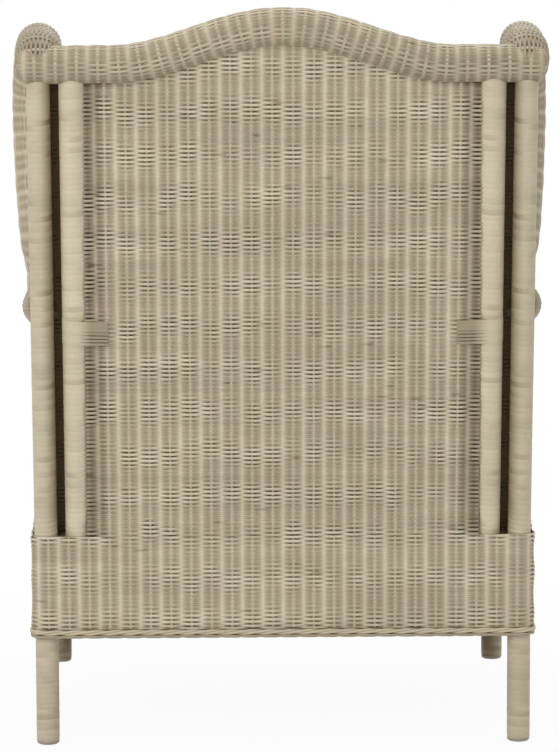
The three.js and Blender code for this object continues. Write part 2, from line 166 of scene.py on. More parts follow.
def feedAll(tree, node, values):
    for socket, value in values.items():
        feed(tree, node, socket, value)
    return node


def blendColour(tree, amount, first, second, mode="MIX"):
    node = addNode(tree, "ShaderNodeMix", data_type="RGBA", blend_type=mode)
    return feedAll(tree, node, {0: amount, 6: first, 7: second}).outputs[2]


def combine(tree, operation, first, second):
    node = addNode(tree, "ShaderNodeMath", operation=operation)
    return feedAll(tree, node, {0: first, 1: second}).outputs[0]


def remap(tree, value, fromLow, fromHigh, toLow, toHigh):
    node = addNode(tree, "ShaderNodeMapRange")
    feedAll(tree, node, {"Value": value, "From Min": fromLow, "From Max": fromHigh})
    return feedAll(tree, node, {"To Min": toLow, "To Max": toHigh}).outputs["Result"]


def attribute(tree, name):
    return addNode(tree, "ShaderNodeAttribute", attribute_name=name).outputs["Fac"]


def objectPlace(tree):
    return addNode(tree, "ShaderNodeTexCoord").outputs["Object"]


def noise(tree, vector, scale, detail=3.0, roughness=0.55):
    node = addNode(tree, "ShaderNodeTexNoise")
    feedAll(tree, node, {"Vector": vector, "Scale": scale, "Detail": detail, "Roughness": roughness})
    return node.outputs["Fac"]


def stretched(tree, vector, scale):
    node = addNode(tree, "ShaderNodeMapping")
    return feedAll(tree, node, {"Vector": vector, "Scale": scale}).outputs["Vector"]


def bump(tree, height, strength, distance):
    node = addNode(tree, "ShaderNodeBump")
    feedAll(tree, node, {"Height": height, "Strength": strength, "Distance": distance})
    return node.outputs["Normal"]


# Cane, greyed and pale, with its tone from strand to strand and fibres along it, darkened by painted shade in
# the recesses, beside the posts and under the rolls, and by some real dark marks
def caneMaterial(name, look):
    material, tree, shader = newMaterial(name)
    place = objectPlace(tree)
    along = addNode(tree, "ShaderNodeUVMap", uv_map="OFBake").outputs["UV"]
    fibre = noise(tree, stretched(tree, along, look["fibreScale"]), scale=1.0, detail=4.0, roughness=0.6)
    colour = blendColour(tree, attribute(tree, "tone"), look["grey"], look["pale"])
    for tint in ("rosy", "green"):
        cloud = noise(tree, place, look[tint + "Scale"])
        amount = remap(tree, cloud, *look[tint + "Range"], 0.0, look["tint"])
        colour = blendColour(tree, amount, colour, look[tint])
    streak = remap(tree, fibre, *look["streakRange"], 1 - look["streak"], 1 + look["streak"] / 2)
    colour = blendColour(tree, 1.0, colour, streak, "MULTIPLY")
    # Painted shade, and real dark marks: the colour is darkened towards a dark brown where the strand's
    # attribute asks
    colour = blendColour(tree, attribute(tree, "shadeAndMarks"), colour, look["shadeAndMarkColour"], "MULTIPLY")
    rough = remap(tree, fibre, *look["fibreRange"], *look["rough"])
    normal = bump(tree, fibre, look["fibreDepth"], look["fibreHeight"])
    feedAll(tree, shader, {"Base Color": colour, "Roughness": rough, "Normal": normal})
    shader.inputs["Specular IOR Level"].default_value = look["gloss"]
    return material


weaveLook = {"grey": (0.440, 0.380, 0.275, 1), "pale": (0.755, 0.675, 0.505, 1),
             "shadeAndMarkColour": (0.200, 0.135, 0.060, 1),
             "rosy": (0.66, 0.535, 0.405, 1), "rosyScale": 21.0, "rosyRange": (0.42, 0.68),
             "green": (0.60, 0.565, 0.375, 1), "greenScale": 29.0, "greenRange": (0.46, 0.70), "tint": 0.55,
             "fibreScale": (260.0, 900.0, 1.0), "fibreRange": (0.2, 0.8), "fibreDepth": 0.3,
             "fibreHeight": 0.3 * mm, "streak": 0.16, "streakRange": (0.3, 0.75), "rough": (0.50, 0.74),
             "gloss": 0.32}
peelLook = dict(weaveLook, grey=(0.47, 0.40, 0.28, 1), pale=(0.71, 0.63, 0.46, 1),
                fibreScale=(900.0, 60.0, 1.0), streak=0.10, rough=(0.42, 0.64), gloss=0.4)
plaitLook = dict(weaveLook, pale=(0.62, 0.54, 0.39, 1), fibreScale=(400.0, 60.0, 1.0))
weaveCane = caneMaterial("weave_cane", weaveLook)
peelCane = caneMaterial("wound_peel", peelLook)
plaitCane = caneMaterial("plaited_cane", plaitLook)
print("cane materials made")


# Smooth random values over a plane, the same on every run
class Patches:
    startU, startV = 31.7, 17.3

    def __init__(self, seed, sizeU, sizeV, cells=96):
        self.grid = np.random.default_rng(seed).random((cells, cells))
        self.sizeU = sizeU
        self.sizeV = sizeV

    def at(self, u, v):
        a = np.asarray(u, float) / self.sizeU + self.startU
        b = np.asarray(v, float) / self.sizeV + self.startV
        a, b = np.broadcast_arrays(a, b)
        i, j = np.floor(a).astype(int), np.floor(b).astype(int)
        p, q = eased(a - i), eased(b - j)
        count = self.grid.shape[0]
        i0, i1, j0, j1 = i % count, (i + 1) % count, j % count, (j + 1) % count
        low = self.grid[i0, j0] * (1 - p) + self.grid[i1, j0] * p
        high = self.grid[i0, j1] * (1 - p) + self.grid[i1, j1] * p
        return low * (1 - q) + high * q


def wavering(seed, size, along):
    return Patches(seed, size, 1.0).at(along, 0.0)


# Sections of a strand: corners as shares of its half width and half depth, and the way each one faces
def ringSection(sides):
    ring = np.array([(math.cos(a), math.sin(a)) for a in np.arange(sides) * 2 * math.pi / sides])
    return {"corners": ring, "facing": ring}


def tapeSection(edge, slant, depth=0.85):
    corners = np.array([(edge, depth), (-edge, depth), (-edge, -depth), (edge, -depth)])
    facing = np.array([(slant, 1.0), (-slant, 1.0), (-slant, -1.0), (slant, -1.0)])
    return {"corners": corners, "facing": unit(facing)}


caneSection = tapeSection(0.96, 0.5)
peelSection = tapeSection(1.0, 0.22)
roundSection = ringSection(6)
coreSection = ringSection(12)


def strand(points, out, wide, deep, tone, shadeAndMarks=0.0, closed=False, section=caneSection):
    made = {"points": points, "out": out, "closed": closed, "section": section}
    for label, values in (("wide", wide), ("deep", deep), ("tone", tone), ("shadeAndMarks", shadeAndMarks)):
        made[label] = np.broadcast_to(values, len(points))
    return made


# Margins round a strand's own strip of the map: at its ends, and beside it as a share of the strip
mapMargin = {"ends": 0.01, "beside": 0.06}


# The corners of a strand's section at each of its points, and the way they face
def strandRings(s):
    points, shares, facing = s["points"], s["section"]["corners"], s["section"]["facing"]
    if s["closed"]:
        ahead = unit(np.roll(points, -1, 0) - np.roll(points, 1, 0))
    else:
        ahead = unit(np.gradient(points, axis=0))
    side = unit(np.cross(s["out"], ahead))
    top = np.cross(ahead, side)
    rings = (points[:, None] + side[:, None] * (s["wide"][:, None] * shares[:, 0])[..., None]
             + top[:, None] * (s["deep"][:, None] * shares[:, 1])[..., None])
    normals = side[:, None] * facing[:, :1] + top[:, None] * facing[:, 1:]
    return rings.reshape(-1, 3), normals.reshape(-1, 3)


# All the strands of one piece as one mesh, each with its own strip of the map
def strandMesh(name, strands, material, darkSide=0, darkShade=0.97):
    places, normals, quads, caps, quadMap, capMap, tones, shadesAndMarks = [], [], [], [], [], [], [], []
    longest = max(runAlong(s["points"])[-1] for s in strands)
    start = 0
    for row, s in enumerate(strands):
        points, shares = s["points"], s["section"]["corners"]
        count, sideCount = len(points), len(shares)
        ringPlaces, ringNormals = strandRings(s)
        places.append(ringPlaces)
        normals.append(ringNormals)
        tones.append(np.repeat(s["tone"], sideCount))
        # With darkSide, the corners on that side of each strand get darkShade, which is painted shade
        shaded = np.tile(shares[:, 1] * darkSide > 0, count)
        shadesAndMarks.append(np.where(shaded, darkShade, np.repeat(s["shadeAndMarks"], sideCount)))
        steps = count if s["closed"] else count - 1
        i, k = np.meshgrid(np.arange(steps), np.arange(sideCount), indexing="ij")
        i, k = i.ravel(), k.ravel()
        after, around = (i + 1) % count, (k + 1) % sideCount
        corners = ((i, k), (i, around), (after, around), (after, k))
        quads.append(start + np.stack([ring * sideCount + corner for ring, corner in corners], 1))
        run = runAlong(points)
        if s["closed"]:
            run = np.append(run, run[-1] + np.linalg.norm(points[0] - points[-1]))
        run = run / longest * (1 - 2 * mapMargin["ends"]) + mapMargin["ends"]
        strip = (1 - 2 * mapMargin["beside"]) / sideCount
        low = (row + mapMargin["beside"] + strip * k) / len(strands)
        high = (row + mapMargin["beside"] + strip * (k + 1)) / len(strands)
        u0, u1 = run[i], run[i + 1]
        quadMap.append(np.stack([u0, low, u0, high, u1, high, u1, low], 1).reshape(-1, 2))
        if not s["closed"]:
            ends = np.arange(sideCount)
            caps += [start + ends[::-1], start + (count - 1) * sideCount + ends]
            middle = (row + 0.5) / len(strands)
            capMap += [repeated((run[end], middle), sideCount) for end in (0, count - 1)]
        start += count * sideCount
    mesh = bpy.data.meshes.new(name)
    faces = np.concatenate(quads).tolist() + [cap.tolist() for cap in caps]
    mesh.from_pydata(np.concatenate(places).tolist(), [], faces)
    mesh.shade_smooth()
    mesh.normals_split_custom_set_from_vertices(np.concatenate(normals).astype(np.float32))
    mapped = np.concatenate(quadMap + capMap)
    mesh.uv_layers.new(name="OFBake").data.foreach_set("uv", mapped.astype(np.float32).ravel())
    for label, values in (("tone", tones), ("shadeAndMarks", shadesAndMarks)):
        layer = mesh.attributes.new(label, "FLOAT", "POINT")
        layer.data.foreach_set("value", np.concatenate(values).astype(np.float32))
    mesh.materials.append(material)
    return addObject(name, mesh)


def dress(piece, slot, *nodes, body="frame"):
    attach(piece, body)
    if nodes:
        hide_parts(*nodes)
    print("made", piece.name, len(piece.data.polygons), "faces")


def mirroredStrands(strands):
    flip = np.array([-1.0, 1.0, 1.0])
    turned = []
    for s in strands:
        made = dict(s, points=(s["points"] * flip)[::-1], out=(s["out"] * flip)[::-1])
        for label in ("wide", "deep", "tone", "shadeAndMarks"):
            made[label] = s[label][::-1]
        turned.append(made)
    return turned


def makePair(name, strands, material, slot, node):
    for side, sign in sides:
        made = strands if sign > 0 else mirroredStrands(strands)
        dress(strandMesh(name + "_" + side, made, material), slot, node + "_" + side)


# The weave: canes packed in rows, each over one stake and under the next
weave = {"rowPitch": 3.05 * mm, "halfWidth": 1.70 * mm, "halfDepth": 1.2 * mm, "thickness": 0.12,
         "wander": 0.3 * mm, "reach": 2.4 * mm, "slack": 0.10, "edgeSlack": 0.2,
         "shortest": 3.66 * mm, "stepsPerStake": 6, "endClear": 0.2,
         "stakePitch": 29.2 * mm, "stakeWide": 2.2 * mm, "stakeDeep": 1.25 * mm, "stakeStep": 9 * mm,
         "stakeTone": (0.5, 0.85), "stakeShade": 0.1, "leastRows": 4,
         "bandHeight": 61 * mm, "bandShift": 0.3, "bandSharp": 1.5, "bandLeast": 0.1, "bandGain": 1.5,
         "pale": 0.40, "toneRange": 0.5, "rowTone": (0.15, 0.08), "underShade": 0.55, "flatShade": 0.52,
         "knotEvery": 6, "knotShade": 0.4, "knotReach": 11.68 * mm}
# Share of painted shade against the distance from a stake
besideStake = ((0.0, 0.17, 0.34, 0.5), (0.45, 1.0, 0.75, 0.0))
# Sizes, along a row and across the rows, of the patches in which a weave varies
patchSize = {"shift": (0.8 * weave["stakePitch"], 90 * mm), "thickness": (60 * mm, 9 * mm),
             "drift": (70 * mm, 26 * mm), "shade": (160 * mm, 22 * mm), "strength": 0.9 * weave["stakePitch"]}


def stakeStrand(place, out, look, rng, **ways):
    tone = rng.uniform(*look["stakeTone"])
    return strand(place, out, weave["stakeWide"], weave["stakeDeep"], tone, look["stakeShade"], **ways)


def nowhere(u, v=0.0):
    return np.zeros(len(u))


# How a sheet is woven, unless its maker says otherwise
usualWays = {"steps": weave["stepsPerStake"], "reach": weave["reach"], "fill": 1.0, "turned": 0,
             "drawn": None, "bandHeight": weave["bandHeight"], "patchHeight": 55 * mm,
             "edgeReach": nowhere, "firm": nowhere, "dim": nowhere, "shade": nowhere}


# Where along the row each stake stands, with one more beyond each end
def stakePhase(stakes, beyond=3):
    count = len(stakes)
    first, last = stakes[1] - stakes[0], stakes[-1] - stakes[-2]
    places = np.concatenate([[stakes[0] - beyond * first], stakes, [stakes[-1] + beyond * last]])
    numbers = np.concatenate([[-beyond], np.arange(count), [count - 1 + beyond]])
    return places, numbers


def wovenStrands(surface, rows, spanAt, stakes, seed, **own):
    ways = dict(usualWays, **own)
    rng = np.random.default_rng(seed)
    shifted = Patches(seed + 1, *patchSize["shift"])
    thickness = Patches(seed + 2, *patchSize["thickness"])
    drift = Patches(seed + 3, *patchSize["drift"])
    shade = Patches(seed + 4, *patchSize["shade"])
    strength = Patches(seed + 5, patchSize["strength"], ways["patchHeight"])
    places, numbers = stakePhase(stakes)
    strands = []
    for row, v in enumerate(rows):
        low, high = spanAt(v)
        if high - low < weave["shortest"]:
            continue
        first, last = np.interp([low, high], places, numbers) * ways["steps"]
        grid = np.arange(math.ceil(first + weave["endClear"]), math.floor(last - weave["endClear"]) + 1)
        u = np.concatenate([[low], np.interp(grid / ways["steps"], numbers, places), [high]])
        phase = np.interp(u, places, numbers)
        # Tension comes and goes in bands, so the weave stands out in some and lies flat in others
        bandPhase = v / ways["bandHeight"] + weave["bandShift"] * (shifted.at(u, v) - 0.5)
        band = (0.5 + 0.5 * np.cos(2 * math.pi * bandPhase)) ** weave["bandSharp"]
        tight = clipped(band * (weave["bandLeast"] + weave["bandGain"] * strength.at(u, v)))
        tight = np.maximum(tight, ways["firm"](u))
        wave = np.cos(math.pi * (phase + row + ways["turned"]))
        under = clipped(-wave)
        lift = ways["reach"] * (weave["slack"] + (1 - weave["slack"]) * tight) * wave
        lift = lift - ways["edgeReach"](u) * under * (weave["edgeSlack"] + (1 - weave["edgeSlack"]) * tight)
        place, out = surface(u, v + (drift.at(u, v) - 0.5) * weave["wander"])
        thick = 1 + weave["thickness"] * (thickness.at(u, v) - 0.5)
        tone = weave["pale"] - ways["dim"](u) + shade.at(u, v) * weave["toneRange"]
        tone = tone + rng.normal(*weave["rowTone"])
        # Painted shade: canes going under a stake darken where the weave is tight, and stripes beside each
        # stake where it lies flat; a knot is a real dark mark
        near = np.interp(np.abs(phase - np.round(phase)), *besideStake)
        shadeAndMarks = weave["underShade"] * np.sqrt(under) * tight + weave["flatShade"] * near * (1 - tight)
        shadeAndMarks = shadeAndMarks + ways["shade"](u, v)
        if rng.integers(weave["knotEvery"]) == 0:
            knot = rng.uniform(low, high)
            shadeAndMarks = shadeAndMarks + weave["knotShade"] * clipped(1 - np.abs(u - knot) / weave["knotReach"])
        strands.append(strand(place + out * lift[:, None], out, weave["halfWidth"] * thick * ways["fill"],
                              weave["halfDepth"] * thick, clipped(tone), clipped(shadeAndMarks)))
    for u in stakes if ways["drawn"] is None else ways["drawn"]:
        held = [v for v in rows if spanAt(v)[0] < u < spanAt(v)[1]]
        if len(held) < weave["leastRows"]:
            continue
        v = np.linspace(held[0], held[-1], stepsFor(held[-1] - held[0], weave["stakeStep"], least=6))
        place, out = surface(np.full(len(v), u), v)
        strands.append(stakeStrand(place, out, weave, rng, section=roundSection))
    return strands


def rowsBetween(low, high):
    count = max(2, round((high - low) / weave["rowPitch"]))
    return low + (np.arange(count) + 0.5) * (high - low) / count


# Stakes at their own pitch, centred in the sheet as the ribs of the solid are
def stakesBetween(low, high):
    count = max(2, math.floor((high - low) / weave["stakePitch"]))
    return (low + high) / 2 + (np.arange(count) - (count - 1) / 2) * weave["stakePitch"]


def centredStakes(eachSide):
    return (np.arange(-eachSide, eachSide) + 0.5) * weave["stakePitch"]


# Back: an outer sheet between the uprights, and an inner one in front of the posts
backSheet = {"outerSeat": 16 * mm, "outerTop": 8 * mm, "tuck": 4.0 * mm,
             "footFlare": 4 * mm, "footHeight": 45 * mm, "edgeReach": 4.5 * mm, "edgeWidth": 24.5 * mm,
             "edgeRamp": 0.22, "edgeShade": 0.22, "edgeDim": 0.45,
             "underRoll": 9 * mm, "underRollShade": 0.45, "crownClear": 180 * mm,
             "stakesEachSide": 9, "rollRadius": 25.5 * mm, "intoRoll": 0.5, "topIntoRoll": 0.6,
             "innerSet": -24.5 * mm, "innerEdge": 4 * mm, "innerSteps": 4, "innerReach": 1.5 * mm,
             "innerFill": 1.14}
backStakes = centredStakes(backSheet["stakesEachSide"])


def footShare(v, height):
    return eased(clipped(1 - (v - sheetBottom) / height))


# The outer sheet flares at its foot to meet the skirt
def backSurface(setLow, setHigh, flare=0.0):
    slope = lean + (setHigh - setLow) / (back["cornerHeight"] - sheetBottom)
    base = backY(sheetBottom) + setLow

    def surface(u, v):
        y = base + slope * (v - sheetBottom) + flare * footShare(v, backSheet["footHeight"])
        return np.stack([u, y, v], 1), unit(repeated((0.0, 1.0, -slope), len(u)))
    return surface


def camelSpan(halfWidth):
    corner = back["cornerHeight"] - backSheet["rollRadius"] * backSheet["intoRoll"]

    def spanAt(v):
        half = halfWidth
        if v > corner:
            share = min(1, (v - corner) / back["rise"])
            half = min(half, back["crownWidth"] / 2 * math.acos(math.sqrt(share)) * 2 / math.pi)
        return -half, half
    return spanAt


def makeBack():
    half = uprightX - boundRadius
    top = back["cornerHeight"] + back["rise"] - backSheet["rollRadius"] * backSheet["topIntoRoll"]

    # Beside the uprights the canes lie out of the light, so they are painted darker and greyer as shade, and
    # those that go under sink away
    def nearEdge(u):
        width = backSheet["edgeWidth"]
        return clipped((np.abs(u) - half + width) / (backSheet["edgeRamp"] * width))

    def edgeReach(u):
        return backSheet["edgeReach"] * nearEdge(u)

    def edgeDim(u):
        return backSheet["edgeDim"] * nearEdge(u)

    # Painted shade beside the uprights, and the roll's shadow painted on the canes just below it
    def shade(u, v):
        below = rollZ(u) - backSheet["rollRadius"] - v
        besideCrown = clipped(np.abs(u) / backSheet["crownClear"] - 0.5)
        underRoll = clipped(1 - below / backSheet["underRoll"]) * besideCrown
        return backSheet["edgeShade"] * nearEdge(u) + backSheet["underRollShade"] * underRoll
    outer = wovenStrands(backSurface(backSheet["outerSeat"], backSheet["outerTop"], backSheet["footFlare"]),
                         rowsBetween(sheetBottom, top), camelSpan(half + backSheet["tuck"]),
                         centredStakes(backSheet["stakesEachSide"] + 1), seed=11,
                         edgeReach=edgeReach, shade=shade, dim=edgeDim, drawn=backStakes)
    dress(strandMesh("back_outer_weave", outer, weaveCane), "rattan_weave", "back_weave_outer")
    inner = wovenStrands(backSurface(backSheet["innerSet"], backSheet["innerSet"]),
                         rowsBetween(sheetBottom - weave["rowPitch"], top),
                         camelSpan(rearX - backSheet["innerEdge"]), stakesBetween(-rearX, rearX), seed=23,
                         steps=backSheet["innerSteps"], reach=backSheet["innerReach"],
                         fill=backSheet["innerFill"])
    # The inner sheet's side towards the cavity behind it is painted nearly dark, as shade
    dress(strandMesh("back_inner_weave", inner, weaveCane, darkSide=1), "rattan_weave", "back_weave_inner")


makeBack()


# A path with evenly spaced points and frames that don't twist
class Path:
    def __init__(self, points, firstSide, spacing=4 * mm, least=40):
        points = np.asarray(points, float)
        length = runAlong(points)
        self.length = length[-1]
        self.run = np.linspace(0, self.length, stepsFor(self.length, spacing, least))
        self.place = valuesAt(self.run, length, points)
        aheads = unit(np.gradient(self.place, axis=0))
        side = np.array(firstSide, float)
        turned = []
        for ahead in aheads:
            side = unit(side - ahead * np.dot(side, ahead))
            turned.append(side)
        self.side = np.array(turned)
        self.other = np.cross(aheads, self.side)

    def around(self, s, angle):
        place, side, other = (valuesAt(s, self.run, values) for values in (self.place, self.side, self.other))
        return place, unit(side * np.cos(angle)[:, None] + other * np.sin(angle)[:, None])


def bentLine(start, corner, end, bend, steps=24):
    start, corner, end = (np.array(p, float) for p in (start, corner, end))
    before = corner + unit(start - corner) * bend
    after = corner + unit(end - corner) * bend
    t = np.linspace(0, 1, steps)[:, None]
    curve = before * (1 - t) ** 2 + corner * 2 * t * (1 - t) + after * t ** 2
    return np.concatenate([[start], curve, [end]])


# A smooth line through points, closer where the points are close
def between(first, second, low, high, t):
    return (first * (high - t) + second * (t - low)) / (high - low)


def throughPoints(points, perSpan=16):
    points = np.asarray(points, float)
    ends = np.concatenate([[2 * points[0] - points[1]], points, [2 * points[-1] - points[-2]]])
    line = []
    for i in range(len(points) - 1):
        p = ends[i:i + 4]
        knot = np.concatenate([[0], np.cumsum(np.sqrt(np.linalg.norm(np.diff(p, axis=0), axis=1)))])
        for t in np.linspace(knot[1], knot[2], perSpan, endpoint=False):
            a = [between(p[j], p[j + 1], knot[j], knot[j + 1], t) for j in range(3)]
            b = [between(a[j], a[j + 1], knot[j], knot[j + 2], t) for j in range(2)]
            line.append(between(b[0], b[1], knot[1], knot[2], t))
    line.append(points[-1])
    return np.array(line)


# A roll: canes along it, stakes round it, and a padded core, painted dark as shade, that shows between them
rollWays = {"reach": 1.1 * mm, "steps": 4, "bandHeight": 37 * mm, "patchHeight": 13 * mm, "drawn": ()}
roll = {"tip": 0.008, "dim": 0.36, "dimEnds": 0.32,
        "stakeSteps": 28, "stakeTone": (0.4, 0.8), "stakeShade": 0.12,
        "coreGap": 3.0 * mm, "coreStep": 14 * mm, "coreEnd": 1 * mm, "coreTone": 0.2, "coreShade": 1.0}


def rollStrands(path, radius, seed, noseLow=0.0, noseHigh=0.0, proud=0.0, stakes=None, **own):
    middle = radius - rollWays["reach"] + proud
    count = 2 * round(math.pi * middle / weave["rowPitch"])
    rows = np.arange(count) * 2 * math.pi * middle / count
    if stakes is None:
        stakes = stakesBetween(0, path.length)

    def share(s):
        low = clipped(1 - s / noseLow) if noseLow else nowhere(s)
        high = clipped(1 - (path.length - s) / noseHigh) if noseHigh else nowhere(s)
        return np.sqrt(np.clip(1 - low ** 2 - high ** 2, roll["tip"], 1))

    def surface(u, v):
        place, out = path.around(u, v / middle)
        return place + out * (middle * share(u))[:, None], out

    def spanAt(v):
        return 0.0, path.length

    def dimmer(u):
        return roll["dim"] + roll["dimEnds"] * (2 * u / path.length - 1) ** 2
    ways = {**rollWays, "dim": dimmer, **own}
    strands = wovenStrands(surface, rows, spanAt, stakes, seed, **ways)
    rng = np.random.default_rng(seed + 9)
    turn = np.linspace(0, 2 * math.pi, roll["stakeSteps"], endpoint=False)
    for s in stakes:
        place, out = surface(np.full(len(turn), s), turn * middle)
        strands.append(stakeStrand(place, out, roll, rng, closed=True))
    s = np.linspace(roll["coreEnd"], path.length - roll["coreEnd"], stepsFor(path.length, roll["coreStep"]))
    place, out = path.around(s, nowhere(s))
    core = np.maximum((middle - roll["coreGap"]) * share(s), roll["coreEnd"])
    strands.append(strand(place, out, core, core, roll["coreTone"], roll["coreShade"], section=coreSection))
    return strands


backRoll = {"radius": 25.5 * mm, "halfLength": 369 * mm, "nose": 16 * mm, "proud": 0.8 * mm, "points": 120}
armRoll = {"radius": 29 * mm, "height": 636 * mm, "bend": 85 * mm, "nose": 18 * mm, "noseShade": 0.85,
           "shadeTurn": 0.2}
# The wing roll's line in millimetres forward of the back, above its corner and outside the post,
# with the share of the way down to the arm
wingRoll = {"radius": 32 * mm, "nose": 10 * mm, "proud": -1.2 * mm,
            "dim": 0.75, "dimLength": 320 * mm, "dimRamp": 1.5, "earLength": 44 * mm, "earPitch": 11 * mm,
            "earShade": 0.32, "firmLength": 240 * mm, "firmRamp": 3,
            "footReach": 252 * mm, "footRise": 32 * mm,
            "forward": (6, 6, 19, 70, 150, 222, 260, 262, 247, 236),
            "above": (-10, 4, 15, 19, 23, 10, 0, 0, 0, 0),
            "down": (0, 0, 0, 0, 0, 0, 0.134, 0.351, 0.607, 0.831),
            "outside": (0, 0, 0, 1, 5, 12, 18, 18, 14, 8)}


def wingLine():
    topY = backY(back["cornerHeight"])
    wingFoot = armRoll["height"] + wingRoll["footRise"]
    drop = back["cornerHeight"] - wingFoot
    points = []
    for forward, above, down, outside in zip(*(wingRoll[w] for w in ("forward", "above", "down", "outside"))):
        z = back["cornerHeight"] + above * mm - down * drop
        points.append((rearX + outside * mm, topY - forward * mm, z))
    points += [(rearX, topY - wingRoll["footReach"], z) for z in (wingFoot, armRoll["height"])]
    return throughPoints(points)


def makeRolls():
    x = np.linspace(-backRoll["halfLength"], backRoll["halfLength"], backRoll["points"])
    z = rollZ(x)
    crest = Path(np.stack([x, backY(z), z], 1), (0, 0, 1))
    strands = rollStrands(crest, backRoll["radius"], seed=31, noseLow=backRoll["nose"],
                          noseHigh=backRoll["nose"], proud=backRoll["proud"], steps=weave["stepsPerStake"])
    dress(strandMesh("back_top_roll", strands, weaveCane), "rattan_weave", "back_roll")
    height = armRoll["height"]
    armPath = Path(bentLine((frontX, frontY, sheetBottom), (frontX, frontY, height),
                            (rearX, backY(height) - boundRadius, height), armRoll["bend"]), (1, 0, 0))

    # The inner side of the arm's end lies in the shade beside the post, and that shade is painted on
    def armShade(u, v):
        inner = clipped(armRoll["shadeTurn"] - math.cos(v / (armRoll["radius"] - rollWays["reach"])))
        atEnd = clipped(1 - (armPath.length - u) / armRoll["nose"])
        return armRoll["noseShade"] * inner * atEnd ** 0.5
    arms = rollStrands(armPath, armRoll["radius"], seed=43, noseHigh=armRoll["nose"], shade=armShade)
    makePair("arm_roll_weave", arms, weaveCane, "rattan_weave", "arm_roll")

    # The wing's roll is greyest at the ear, where it comes over the back's roll on close stakes, and painted
    # shade darkens it there
    def wingDim(u):
        return wingRoll["dim"] * clipped(wingRoll["dimRamp"] * (1 - u / wingRoll["dimLength"]))

    def earFirm(u):
        return clipped(wingRoll["firmRamp"] * (1 - u / wingRoll["firmLength"]))

    def earShade(u, v):
        return wingRoll["earShade"] * earFirm(u)
    wingPath = Path(wingLine(), (1, 0, 0))
    earStakes = np.arange(0.5 * wingRoll["earPitch"], wingRoll["earLength"], wingRoll["earPitch"])
    stakes = np.concatenate([earStakes, stakesBetween(wingRoll["earLength"], wingPath.length)])
    wings = rollStrands(wingPath, wingRoll["radius"], seed=57, noseLow=wingRoll["nose"],
                        proud=wingRoll["proud"], stakes=stakes, dim=wingDim, firm=earFirm, shade=earShade)
    makePair("wing_roll_weave", wings, weaveCane, "rattan_weave", "wing_roll")


makeRolls()


# Wings and arms: two sheets each, spreading towards the front
sideSheet = {"spreadRear": 10 * mm, "spreadFront": 16 * mm, "wingFlare": 8 * mm, "steps": 4,
             "footHeight": 60 * mm, "footReach": 17 * mm,
             "armFront": 8 * mm, "underArm": 6 * mm, "wingEnds": 4 * mm,
             "armRear": {"outer": 8 * mm, "inner": 20 * mm}, "wingRear": {"outer": 6 * mm, "inner": 20 * mm}}


# The outer arm sheet flares at its foot to meet the skirt
def sideSurface(rearEnd, rearMiddle, frontEnd, frontMiddle, sign, flared=False):
    slope = (frontMiddle - rearMiddle) / (frontEnd - rearEnd)
    skirtSlope = (frontX - rearX) / (frontEnd - rearEnd)

    def surface(u, v):
        x = rearMiddle + slope * (u - rearEnd)
        if flared:
            meets = rearX + skirtSlope * (u - rearEnd) + sideSheet["footReach"]
            x = x + (meets - x) * footShare(v, sideSheet["footHeight"])
        return np.stack([x, u, v], 1), unit(repeated((sign, -sign * slope, 0.0), len(u)))
    return surface


def makeSides():
    height = armRoll["height"]
    topY = backY(back["cornerHeight"])
    wingFront = topY - wingRoll["footReach"]
    line = wingLine()
    peak = int(np.argmax(line[:, 2]))
    rising, falling = line[:peak + 1], line[peak:][::-1]
    for face, sign in (("outer", 1), ("inner", -1)):
        rear = rearX + sign * sideSheet["spreadRear"]
        armSheet = sideSurface(rearY, rear, frontY, frontX + sign * sideSheet["spreadFront"], sign, sign > 0)

        def armSpan(v):
            return frontY + sideSheet["armFront"], backY(v) - sideSheet["armRear"][face]
        strands = wovenStrands(armSheet, rowsBetween(sheetBottom, height - sideSheet["underArm"]), armSpan,
                               stakesBetween(frontY, backY(height)), seed=61 + sign, steps=sideSheet["steps"])
        makePair("arm_" + face + "_weave", strands, weaveCane, "rattan_weave", "arm_weave_" + face)
        flare = rearX + sideSheet["wingFlare"] + sign * sideSheet["spreadFront"]
        wingSheet = sideSurface(topY, rear, wingFront, flare, sign)

        def wingSpan(v):
            rearEnd = backY(v) - sideSheet["wingRear"][face]
            if v > back["cornerHeight"]:
                rearEnd = min(rearEnd, np.interp(v, rising[:, 2], rising[:, 1]))
            return np.interp(v, falling[:, 2], falling[:, 1]), rearEnd
        rows = rowsBetween(height + sideSheet["wingEnds"], line[peak, 2] - sideSheet["wingEnds"])
        strands = wovenStrands(wingSheet, rows, wingSpan, stakesBetween(line[:, 1].min(), topY),
                               seed=71 + sign, steps=sideSheet["steps"])
        makePair("wing_" + face + "_weave", strands, weaveCane, "rattan_weave", "wing_weave_" + face)


makeSides()


# Skirt and border run all round the seat, outside the legs
skirt = {"radius": 19.9 * mm, "cornerSteps": 10, "reach": 2.1 * mm, "stakesBeyond": 3,
         "footShade": 0.22, "footHeight": 9 * mm}
border = {"radius": 21.0 * mm, "lay": 84 * mm, "canes": 3, "step": 3.2 * mm, "tone": (0.45, 1.0),
          "upperRope": 2.0 * mm, "upperCane": 2.0 * mm, "lowerRope": 1.3 * mm, "lowerCane": 1.35 * mm,
          "lowerShade": 0.26, "hiddenShade": 0.35, "coreInset": 2.4 * mm, "coreStep": 9 * mm,
          "coreWide": 7.0 * mm, "coreDeep": 1.2 * mm, "coreRise": 1.6 * mm, "coreTone": 0.3, "coreShade": 0.8}


def seatLoop(radius):
    line = []
    corners = ((rearX, rearY, 0), (-rearX, rearY, 90), (-frontX, frontY, 180), (frontX, frontY, 270))
    for x, y, turn in corners:
        for angle in np.radians(turn + np.linspace(0, 90, skirt["cornerSteps"])):
            line.append((x + radius * math.cos(angle), y + radius * math.sin(angle), 0.0))
    line.append(line[0])
    return np.array(line)


